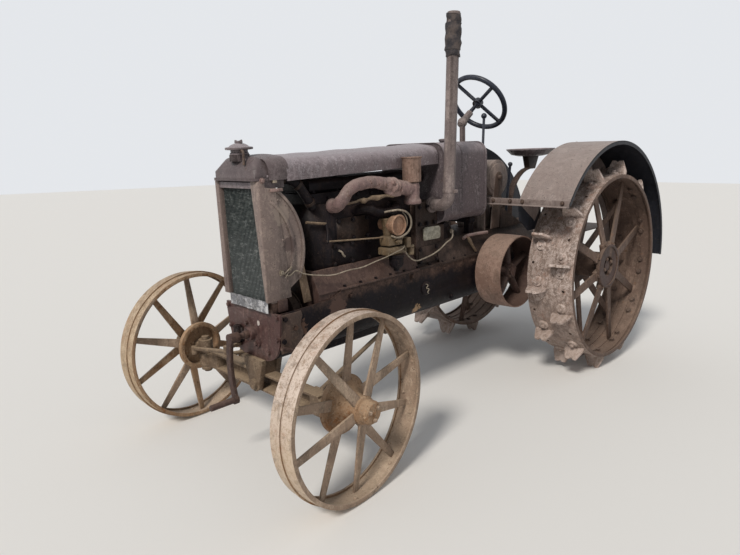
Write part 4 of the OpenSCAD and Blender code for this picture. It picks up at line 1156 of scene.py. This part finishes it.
# %% The core's finish and the core
def core_finish():
    """Dark fins, scuffed to bare metal, and dustier towards the bottom."""
    mixer = Paint("radiator_core", Metallic=0.15, Specular_IOR_Level=0.3)
    fins = mixer.noise(11, 4, 0.7, stretch=(0.3, 0.3, 1))
    patch = mixer.noise(80, 8, 0.7)
    streak = mixer.noise(60, 8, 0.78, stretch=(2.4, 1, 0.5))
    grain = mixer.noise(6, 4, 0.7)
    low = mixer.step(mixer.level() + (patch - 0.5) * (600 * MM), 1220 * MM, 920 * MM)
    scuff = mixer.step(streak * 0.35 + fins * 0.4 + grain * 0.25, 0.52, 0.6)
    base = mixer.mix(mixer.step(patch * 0.4 + fins * 0.6, 0.42, 0.58), (0.020, 0.026, 0.026),
                     (0.060, 0.070, 0.068))
    colour = mixer.mix(low * 0.5, base, (0.105, 0.115, 0.115))
    colour = mixer.mix(scuff * (0.35 + low * 0.45), colour, (0.27, 0.28, 0.275))
    colour = mixer.mix(mixer.step(grain, 0.6, 0.68) * 0.35, colour, (0.13, 0.09, 0.06))
    return mixer.apply(colour, 0.7 - scuff * 0.15, fins * 0.5 + grain * 0.5, 1.2)


FINISH["core"] = core_finish()
eased("radiator_core", 0, "core", angle=30)

# %% [markdown]
# Round the core stand folded columns, a header strip above it and a pale dented band
# below it. The band was hit from the front more than once, so its grid is pushed in
# by noise. A thin sheet closes each side, and three rivets show on it.

# %% The columns, the strips and the band
eased("fan_shroud", 1.5, "shroud_paint")
COLUMN_Y = (-2409, -2376)
COLUMN_Z = (788, 1334)
# Each column's lower and upper end, from its right edge to its left one, both in x
COLUMNS = (((166, 182), (116, 182)), ((-182, -142), (-182, -152)))
SHEET_X = (178.5, 183)
parts = []
for foot, top in COLUMNS:
    outline = [(foot[0], COLUMN_Z[0]), (foot[1], COLUMN_Z[0]), (top[1], COLUMN_Z[1]),
               (top[0], COLUMN_Z[1])]
    parts.append(slab("column", outline, "Y", *COLUMN_Y, 4))
for s in (-1, 1):
    low, high = sorted(s * x for x in SHEET_X)
    front = COLUMN_Y[0] + 2
    outline = [(front, COLUMN_Z[0]), (-2272, 792), (-2322, 1298), (front, 1310)]
    parts.append(slab("side_sheet", outline, "X", low, high, 1.5))
settle(joined("radiator_columns", parts), "shroud_paint")
places = [((s * SHEET_X[1], y, z), (s, 0, 0)) for s in (-1, 1)
          for y, z in ((-2288, 872), (-2300, 1064), (-2312, 1246))]
bolts("sheet_rivets", places, 6, "shroud_paint", head=rivet_head(6))
bolts("strap_bolts", [((s * 182, -2388, 1336), (s, 0, 0)) for s in (-1, 1)], 10, "rust")
settle(block("tank_bracket", (182, -2352, 1284), (194, -2288, 1298), 3), "rust")
settle(block("tank_clip", (176, -2334, 1322), (190, -2314, 1350), 3), "steel_wire")
feet = []
for s in (-1, 1):
    low, high = sorted((s * 176, s * 187))
    feet.append(block("foot", (low, -2352, 733), (high, -2300, 790), 3))
settle(joined("sheet_feet", feet), "sump_brown")
BAND = {"x": (-150, 166), "y": -2399, "z": (735, 789)}


def band_shape(u, v):
    """A flat band, dented by two noises that fade out at its ends."""
    x = BAND["x"][0] + (BAND["x"][1] - BAND["x"][0]) * u
    z = BAND["z"][0] + (BAND["z"][1] - BAND["z"][0]) * v
    broad = noise.noise(Vector((x / 45, z / 30, 4))) * 7
    small = noise.noise(Vector((x / 18, z / 14, 8))) * 2.5
    return x, BAND["y"] + (broad + small) * math.sin(math.pi * u) ** 0.3, z


settle(bent_sheet("dented_band", 60, 14, band_shape, 2), "bare_metal")
settle(block("header_strip", (-154, -2404, 1300), (120, -2389, 1328), 1.5), "dusty_paint")

# %% [markdown]
# The filler neck is turned: a wide flange, a domed lid and a wing nut. The overflow
# pipe leaves the neck and hangs down beside it.

# %% The radiator's cap
NECK = (0, -2375, 1450)
cap = lathe("cap", [(0, -8), (43, -8), (43, 6), (39, 9), (39, 20), (61, 22), (63, 25), (63, 31),
                    (60, 33), (46, 35), (38, 42), (24, 48), (14, 50), (14, 58), (0, 60)], 48)
turned(cap, move(*NECK))
outline = [(-30, 1500), (30, 1500), (27, 1516), (10, 1511), (-10, 1511), (-27, 1516)]
wing = slab("wing", outline, "Y", NECK[1] - 4, NECK[1] + 4, 2)
settle(joined("filler_cap", [cap, wing]), "dusty_paint", replaces=["radiator_cap"])
route = [(40, -2392, 1462), (62, -2400, 1466), (76, -2404, 1458), (80, -2406, 1430),
         (84, -2410, 1404)]
settle(pipe("overflow_pipe", route, 6), "brown_iron")
places = [((s * 171, y, 1349), (0, 0, 1)) for s in (-1, 1) for y in (-2290, -2350)]
bolts("tank_bolts", places, 8, "dusty_paint")

# %% [markdown]
# ## The exhaust and the intake
# The manifold is one rough casting: pipes that swell into each other, a bolted flange
# and a round body with a lip. The pipes are curves with a round bevel, so their bends
# are true. A remodelling in small cubes melts all pieces into one skin, and noise
# gives it the roughness of old cast iron.

# %% The exhaust manifold
STUB = (258, -1500)
MANIFOLD = (244, 1261)
x = MANIFOLD[0]
manifold = [
    pipe("runner", [(150, -1972, 1186), (190, -1976, 1188), (234, -1982, 1212), (x, -1930, 1266),
                    (x, -1852, 1286), (x, -1760, 1286), (x + 2, -1690, 1272), (252, -1600, 1252),
                    (256, -1520, 1236)], 31, 16, 12,
         [1.2, 1.05, 1.0, 0.95, 1.0, 0.98, 1.1, 1.2, 1.25]),
    pipe("scale", [(x + 6, -1700, 1240), (250, -1650, 1222), (254, -1590, 1214)], 15, 10, 8,
         [0.7, 1.2, 0.8]),
    pipe("elbow", [(256, -1490, 1226), (232, -1444, 1240), (196, -1430, 1238), (150, -1430, 1206)],
         23, 12, 10),
]
body = lathe("body", [(0, 1154), (42, 1154), (48, 1158), (48, 1170), (41, 1184), (38, 1200),
                      (38, 1266), (0, 1268)], 40)
manifold.append(turned(body, move(*STUB, 0)))


def flange_outline(size):
    """An ellipse that bulges a little at its sides, where its bolts are."""
    turns = [math.tau * k / 20 for k in range(20)]
    return [(MANIFOLD[0] + size * math.cos(t) * (1 + 0.12 * math.cos(2 * t)),
             MANIFOLD[1] + size * 0.8 * math.sin(t)) for t in turns]


for y, size in ((-1664, 56), (-1640, 52)):
    manifold.append(slab("flange", flange_outline(size), "Y", y, y + 17, 4))
manifold = joined("exhaust_casting", manifold)
finish_modifier(manifold, "REMESH", mode="VOXEL", voxel_size=4.5 * MM)
roughen(manifold, 26, 2.4)
roughen(manifold, 9, 1.0, 4)
settle(manifold, "rust", replaces=["exhaust_manifold"], angle=80)
places = [((x + dx, -1670, MANIFOLD[1] + dz), (0, -1, 0))
          for dx, dz in ((44, 20), (-44, 20), (0, -44))]
places += [((x + dx, -1619, MANIFOLD[1] + dz), (0, 1, 0)) for dx, dz in ((46, -18), (-40, -20))]
bolts("flange_bolts", places, 10, "rust")

# %% [markdown]
# The stub on top is a short can of thin sheet with a flared rim, open at its top. Its
# wall is spun as a closed profile, outside and inside, so that it has its real
# thickness.

# %% The exhaust stub
stub = lathe("exhaust_can", [(0, 1270), (46, 1270), (50, 1274), (50, 1290), (49, 1384), (53, 1394),
                             (56, 1396), (56, 1400), (51, 1399), (45, 1388), (45, 1286),
                             (0, 1284)], 56)
turned(stub, move(*STUB, 0))
roughen(stub, 60, 1.2)
settle(stub, "pulley_rust", replaces=["exhaust_stub"])

# %% [markdown]
# Under it runs the intake, a smooth dark pipe, down to the carburettor. That is a
# brass body between an air bell on the left and a round bowl below. Boxes with eased
# edges, turned flanges and small hexagons build it up, as its castings do.

# %% Intake and carburettor
CARB = (215, -1645)
AIM_LEFT = facing((1, 0, 0))
route = [(150, -1824, 1148), (190, -1822, 1156), (217, -1806, 1160), (216, -1740, 1138),
         (CARB[0], -1690, 1127), (CARB[0], -1624, 1126), (212, -1580, 1142),
         (190, -1562, 1150), (150, -1560, 1150)]
intake = roughen(pipe("intake_pipe", route, 24, 14, 12), 40, 1.5)
settle(intake, "oily_iron", replaces=["intake_manifold"])
bell = lathe("bell", [(0, 168), (33, 168), (34, 236), (47, 250), (49, 282), (54, 286), (55, 293),
                      (50, 297), (44, 293), (43, 286), (20, 284), (0, 290)], 48)
turned(bell, move(0, CARB[1], 1060) @ AIM_LEFT)
settle(roughen(bell, 30, 1.4), "bell_rust")
neck = lathe("neck", [(0, 880), (27, 880), (27, 1000), (40, 1086), (42, 1088), (42, 1094),
                      (0, 1094)], 32)
plug = lathe("plug", [(0, 0), (16, 0), (16, 14), (11, 16), (11, 26), (0, 28)], 6)
jet = lathe("jet", [(0, 0), (13, 0), (13, 10), (8, 12), (8, 34), (0, 36)], 12)
lug = lathe("lug", [(0, -18), (19, -18), (19, 18), (0, 18)], 20)
carb = [turned(neck, move(*CARB, 0)),
        block("body", (190, -1706, 904), (272, -1568, 944), 7),
        block("throat", (194, -1696, 950), (268, -1590, 1002), 9),
        block("ear", (236, -1576, 930), (282, -1540, 984), 7),
        turned(plug, at((272, -1640, 972), (1, 0, 0))),
        turned(jet, at((262, -1540, 925), (0, 1, 0.2))),
        turned(lug, at((252, -1518, 902)))]
carb = roughen(joined("carburettor_body", carb), 20, 1.5)
settle(carb, "brass", replaces=["carburettor"])
bowl = lathe("bowl", [(0, 811), (12, 812), (16, 826), (30, 834), (38, 848), (39, 884), (44, 888),
                      (44, 900), (0, 902)], 40)
settle(turned(bowl, move(252, -1631, 0)), "oily_iron")
places = [((272, y, z), (1, 0, 0))
          for y, z in ((-1690, 924), (-1584, 924), (-1660, 990), (-1604, 990))]
bolts("carburettor_bolts", places, 7, "brass")

# %% [markdown]
# Stiff rods work the choke and the throttle, a thin fuel pipe comes to the
# carburettor, and a loop of wire bends round the air bell. They are held at both ends
# and never hang, so they are curves with a thin round bevel, through listed points.

# %% Wires and rods
# Each one's name, radius and route
WIRES = (
    ("choke_wire", 2.8, [(188, -2322, 916), (190, -2285, 896), (191, -2245, 912), (198, -2207, 893),
                         (213, -2118, 871), (225, -2044, 862), (238, -1965, 871),
                         (250, -1874, 874), (263, -1801, 890), (277, -1725, 906),
                         (290, -1669, 923), (297, -1622, 938), (284, -1600, 946)]),
    ("choke_end", 2.4, [(188, -2334, 905), (192, -2308, 912), (196, -2284, 930), (192, -2268, 934),
                        (190, -2288, 912), (192, -2306, 890)]),
    ("throttle_rod", 4.2, [(190, -2050, 1022), (196, -1950, 1014), (222, -1690, 996)]),
    ("shaft_rod", 6.5, [(162, -2146, 1124), (162, -2024, 1103)]),
    ("fuel_wire", 4.0, [(268, -1586, 919), (264, -1534, 868), (252, -1472, 841), (242, -1402, 839),
                        (222, -1238, 862), (214, -1163, 892), (212, -1100, 922),
                        (208, -1094, 950)]),
    ("loop_wire", 5.4, [(232, -1699, 1128), (262, -1663, 1135), (290, -1630, 1136),
                        (302, -1583, 1112), (308, -1568, 1068), (306, -1583, 1028),
                        (302, -1618, 1006), (290, -1653, 996), (270, -1684, 1008)]),
    ("inner_wire", 3.0, [(284, -1606, 1122), (290, -1588, 1098), (292, -1582, 1066),
                         (288, -1600, 1022)]),
    ("scale_rod", 6.0, [(242, -1972, 1196), (244, -1930, 1199), (244, -1890, 1203),
                        (244, -1868, 1208), (246, -1846, 1203), (246, -1815, 1207),
                        (248, -1790, 1212), (250, -1756, 1209), (252, -1700, 1214),
                        (254, -1640, 1206)]),
    ("white_bit", 5.5, [(166, -1956, 962), (172, -1940, 952), (170, -1930, 936),
                        (166, -1916, 926)]),
    ("frame_squiggle", 2.8, [(222, -1362, 684), (227, -1348, 674), (227, -1360, 660),
                             (227, -1340, 650), (227, -1350, 634), (222, -1338, 624)]),
)
# One rod is crusted with rust: the share of its radius at each point of its route
THICK = {"scale_rod": [1, 0.9, 1, 1.1, 2.6, 1.1, 2.0, 2.4, 1.2, 1]}
BROWN_RODS = ("throttle_rod", "shaft_rod", "scale_rod")


def wires(title, finish, brown):
    """Joins the brown rods, or all the other wires, in one finish."""
    made = [pipe(name, route, radius, 6, 10, THICK.get(name)) for name, radius, route in WIRES
            if (name in BROWN_RODS) == brown]
    return settle(joined(title, made), finish)


wires("wires", "steel_wire", False)
wires("brown_rods", "axle_iron", True)
nuts = [((200, -1094, 952), (1, 0, 0)), ((184, -2322, 916), (1, 0, 0))]
bolts("wire_nuts", nuts, 10, "steel_wire")

# %% [markdown]
# A dark lever links the two rods, a round boss stands on the frame's side, and the
# plate on the clutch housing is blank and chalky. Two more rods reach back to the
# belt pulley.

# %% Small pieces on the engine's side
lever = pipe("link", [(164, -2024, 1104), (178, -2030, 1060), (190, -2046, 1014)], 8, 8, 6)
boss = lathe("boss", [(0, 0), (40, 0), (40, 6), (34, 12), (0, 12)], 28)
turned(boss, at((211, -1350, 655), (1, 0, 0)))
settle(joined("rod_link", [lever, boss]), "oily_iron")
outline = [(-1348, 930), (-1216, 928), (-1206, 940), (-1206, 990), (-1218, 1000), (-1340, 1004),
           (-1352, 992), (-1352, 944)]
settle(slab("blank_plate", outline, "X", 200, 208, 1.5), "pale_plate")
route = [(214, -1000, 896), (216, -973, 906), (216, -900, 908), (214, -753, 903)]
settle(pipe("arm", route, 10, 8, 8), "rust")
route = [(218, -958, 900), (218, -940, 878), (216, -900, 830), (212, -868, 800)]
settle(pipe("arm_link", route, 9, 8, 8, [0.8, 1.3, 1.0, 0.8]), "axle_iron")

# %% [markdown]
# ## The engine's sides
# The block is dark and oily. Bolted covers, a flange along the frame and a row of
# studs break it up, and every joint has its bolts.

# %% Bolts along the engine and the frame
places = []
for s in (-1, 1):
    out = (s, 0, 0)
    up = (0, 0, 1)
    places += [((s * 160, y, z), out) for y in (-1942, -1846, -1748) for z in (1012, 1106)]
    places += [((s * 156, y, z), out) for y in (-1978, -1858, -1738) for z in (896, 984)]
    places += [((s * 194, y, z), out) for y in (-1370, -1306, -1242) for z in (1024, 1120)]
    places += [((s * 198, y, z), out) for y in (-1376, -1234) for z in (810, 882)]
    places += [((s * 200, y, 783), up) for y in range(-1960, -200, 110)]
    places += [((s * 145, y, 1226), out) for y in range(-2080, -1400, 96)]
    places += [((s * 120, y, 1256), up) for y in range(-2060, -1300, 150)]
bolts("engine_bolts", places, 10, "oily_iron")
FRAME_BOLTS = ((-2344, 705), (-2287, 651), (-2359, 601), (-1930, 730), (-1465, 745),
               (-1180, 740), (-900, 745), (-420, 740), (-420, 560), (-1120, 560))
places = [((s * 212, y, z), (s, 0, 0)) for s in (-1, 1) for y, z in FRAME_BOLTS]
bolts("frame_bolts", places, 13, "frame_iron")
PLATE_BOLTS = ((-206, 716), (206, 716), (-196, 610), (196, 610), (-120, 530), (120, 530))
places = [((x, -2380, z), (0, -1, 0)) for x, z in PLATE_BOLTS]
places += [((-36, -2392, 654), (0, -1, 0)), ((36, -2392, 562), (0, -1, 0))]
bolts("plate_bolts", places, 11, "maroon_paint")

# %% [markdown]
# A brown wrapper plate holds each side of the frame's front end, and its rear edge is
# wavy. A strap runs back under the frame. Behind the radiator stand a short post and a
# flat brace, and a hose with three clamps joins it to the engine.

# %% Plates, straps and the hose at the front
parts = []
for s in (-1, 1):
    low, high = sorted((s * 211.5, s * 216))
    wavy = [(-2250 + 8 * math.sin(k * 1.7), 726 - 183 * k / 8) for k in range(9)]
    parts.append(slab("wrapper", [(-2374, 543), (-2374, 726)] + wavy, "X", low, high))
settle(joined("frame_wrappers", parts), "brown_iron")
route = [(214, -2372, 572), (208, -2300, 540), (160, -2150, 500), (120, -2060, 480)]
outline = [(-2338, 733), (-2318, 733), (-2322, 778), (-2334, 778)]
parts = [pipe("strap", route, 11, 8, 8), slab("post", outline, "X", 160, 172)]
settle(joined("front_straps", parts), "sump_brown")
outline = [(-2236, 975), (-2192, 975), (-2150, 745), (-2196, 745)]
settle(slab("brace", outline, "X", 170, 175), "axle_iron")
route = [(120, -2262, 1336), (140, -2220, 1330), (158, -2190, 1312), (160, -2140, 1250),
         (150, -2094, 1190)]
settle(pipe("radiator_hose", route, 23, 14, 10), "oily_iron")
CLAMPS = (((131, -2238, 1334), (20, 40, -5)), ((160, -2180, 1302), (4, 30, -24)),
          ((156, -2112, 1214), (-8, 34, -48)))
clamps = [turned(lathe("clamp", [(23, -7), (26, -7), (26, 7), (23, 7), (23, -7)], 32),
                 at(place, way)) for place, way in CLAMPS]
settle(joined("hose_clamps", clamps), "oily_brown")

# %% [markdown]
# ## The stack's binding
# Rags and tar were once wound round the top of the air stack. A sleeve is carried
# round it with creased folds that climb like a bandage, and its ends are ragged.

# %% The binding on the stack
STACK = (318, -1265, 1187)
STACK_LEAN = 3.4
BINDING_R = 39.5
# From the stack's foot: where the binding starts, and how long it is
BINDING = (722, 212)


def binding_shape(u, v):
    """Round the stack and up it, with a climbing band, random folds and ragged ends."""
    turn = math.tau * u
    ragged = 14 * noise.noise(Vector((math.cos(turn), math.sin(turn), 2.0)))
    ends = {0: -ragged, 1: ragged}
    along_stack = BINDING[0] + BINDING[1] * v + ends.get(v, 0)
    band = math.sin(along_stack / 9.5 + turn)
    fold = noise.noise(Vector((math.cos(turn) * 1.6, math.sin(turn) * 1.6, along_stack / 26)))
    r = BINDING_R + 2.2 * band + 4.2 * fold + (2.5 if 0.15 < v < 0.8 else -1)
    return r * math.cos(turn), r * math.sin(turn), along_stack


binding = bent_sheet("stack_binding", 48, 90, binding_shape, 2.5, closed=True, even=False)
turned(binding, move(*STACK) @ rotation(-STACK_LEAN, "X"))


def binding_finish():
    """Dark tar over a pale weave."""
    mixer = Paint("binding")
    weave = mixer.noise(3, 4, 0.8)
    patch = mixer.noise(45, 7, 0.7)
    colour = mixer.mix(mixer.step(patch, 0.4, 0.62), (0.022, 0.020, 0.024), (0.082, 0.064, 0.058))
    colour = mixer.mix(mixer.step(weave, 0.55, 0.7) * 0.5, colour, (0.15, 0.125, 0.115))
    return mixer.apply(colour, 0.9 - patch * 0.1, weave * 0.6 + patch * 0.4, 2.0)


FINISH["binding"] = binding_finish()
SLOT_OF_FINISH["binding"] = "brown_iron"
settle(binding, "binding", angle=60)
clamp = turned(lathe("stack_clamp", [(33, -9), (37, -9), (37, 9), (33, 9), (33, -9)], 40),
               at((STACK[0], STACK[1] + 1, 1205), (0, 0.06, 1)))
ear = block("clamp_ear", (STACK[0] + 30, STACK[1] - 8, 1196),
            (STACK[0] + 58, STACK[1] + 8, 1214), 2)
settle(joined("stack_clamp", [clamp, ear]), "stack_paint")

# %% [markdown]
# ## The belt pulley
# Its face is slightly crowned so that a belt stays on it. Five arms, thick near the
# hub, carry the ring. The ring is spun, one arm is made from a short cylinder that is
# flattened and then tapered in edit mode, and the arm is copied round.

# %% The belt pulley
PULLEY = (404, -666, 654)
ARMS = 5
ring = lathe("ring", [(219, -180), (226, -180), (228, -150), (229, -90), (228, -30), (226, 0),
                      (219, 0), (216, -10), (217, -90), (216, -170), (219, -180)], 96)
bpy.ops.mesh.primitive_cylinder_add(vertices=14, radius=24 * MM, depth=175 * MM,
                                    location=(0, 0, 130.5 * MM))
arm = turned(bpy.context.object, Matrix.Scale(0.62, 4, (0, 1, 0)))
with editing(arm):
    choose("FACE", lambda face: face.normal.z < -0.9)
    bpy.ops.transform.resize(value=(1.45, 1.3, 1.0), center_override=(0, 0, 45 * MM))
arms = [move(0, 0, -100) @ rotation(360 / ARMS * k + 20, "Z") @ rotation(90, "Y")
        for k in range(ARMS)]
arms = spread("arms", arm, arms)
hub = lathe("hub", [(0, -130), (46, -130), (50, -124), (50, -70), (44, -60), (30, -58),
                    (30, -48), (0, -46)], 40)
shaft = lathe("shaft", [(0, -254), (28, -254), (28, -126), (0, -126)], 32)
pulley = turned(joined("pulley_wheel", [ring, arms, hub, shaft]), AIM_LEFT)
settle(turned(pulley, move(*PULLEY)), "pulley_rust", "pulley", ["belt_pulley"])
# Everything inside the ring is a darker brown
repaint(pulley, "sump_brown", off_axle(STANCE @ move(*PULLEY), 0, 218.2))
places = bolt_circle(PULLEY[0] - 60, 38, (0.3, 1.56, 2.8, 4.07, 5.3), PULLEY[1:])
bolts("pulley_bolts", places, 8, "brown_iron", "pulley")

# %% [markdown]
# ## The stage
# A pale floor, a soft sky that lights from everywhere, and one broad sun from the
# front left: plain light, at which a colour shows about as it is written.

# %% Floor, light and camera
FLOOR_COLOUR = (0.80, 0.79, 0.77)
SKY_COLOUR = (0.93, 0.96, 1.0)
SKY_LEVEL = 0.42
BACKDROP_COLOUR = (0.78, 0.80, 0.83)
SUN_COLOUR = (1.0, 0.95, 0.88)
SUN_LEVEL = 2.45
TOWARDS_SUN = (0.26, -0.70, 0.66)

bpy.ops.mesh.primitive_plane_add(size=60)
floor = bpy.context.object
floor.name = "floor"
paint = Paint("floor", Base_Color=(*FLOOR_COLOUR, 1), Roughness=0.9)
floor.data.materials.append(paint.material)

# The world lights as the sky, and is seen by the camera and in gloss as the backdrop
world = bpy.data.worlds.new("sky")
bpy.context.scene.world = world
world.use_nodes = True
nodes, links = world.node_tree.nodes, world.node_tree.links
sky = nodes["Background"]
sky.inputs[0].default_value = (*SKY_COLOUR, 1)
sky.inputs[1].default_value = SKY_LEVEL
backdrop = nodes.new("ShaderNodeBackground")
backdrop.inputs[0].default_value = (*BACKDROP_COLOUR, 1)
rays = nodes.new("ShaderNodeLightPath")
seen = nodes.new("ShaderNodeMath")
seen.operation = "MAXIMUM"
links.new(rays.outputs["Is Camera Ray"], seen.inputs[0])
links.new(rays.outputs["Is Glossy Ray"], seen.inputs[1])
blend = nodes.new("ShaderNodeMixShader")
links.new(seen.outputs[0], blend.inputs[0])
links.new(sky.outputs[0], blend.inputs[1])
links.new(backdrop.outputs[0], blend.inputs[2])
links.new(blend.outputs[0], nodes["World Output"].inputs["Surface"])

sun = bpy.data.objects.new("sun", bpy.data.lights.new("sun", "SUN"))
sun.data.energy = SUN_LEVEL
sun.data.angle = math.radians(12)
sun.data.color = SUN_COLOUR
sun.matrix_world = facing(TOWARDS_SUN)
bpy.context.collection.objects.link(sun)
bpy.context.scene.view_settings.view_transform = "Standard"

# The camera's place and turn in the level frame, in millimetres and radians, then its
# focal length and the picture's width, both in pixels
CAMERA = (2376.9, -3872.7, 1474.6)
YAW, DOWN, ROLL = 0.8048, 0.2211, -0.0392
FOCUS_PX, WIDTH_PX, SENSOR_MM = 594.24, 740, 36.0
ahead = Vector((-math.sin(YAW) * math.cos(DOWN), math.cos(YAW) * math.cos(DOWN), -math.sin(DOWN)))
right = ahead.cross(Vector((0, 0, 1))).normalized()
lens_frame = Matrix((right, right.cross(ahead), -ahead)).transposed().to_4x4()
camera = bpy.data.objects.new("camera", bpy.data.cameras.new("camera"))
camera.data.sensor_width = SENSOR_MM
camera.data.lens = FOCUS_PX / WIDTH_PX * SENSOR_MM
camera.matrix_world = (STANCE @ move(*CAMERA) @ lens_frame
                       @ Matrix.Rotation(ROLL, 4, "Z"))
bpy.context.collection.objects.link(camera)
bpy.context.scene.camera = camera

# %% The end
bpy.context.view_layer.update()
deselect()
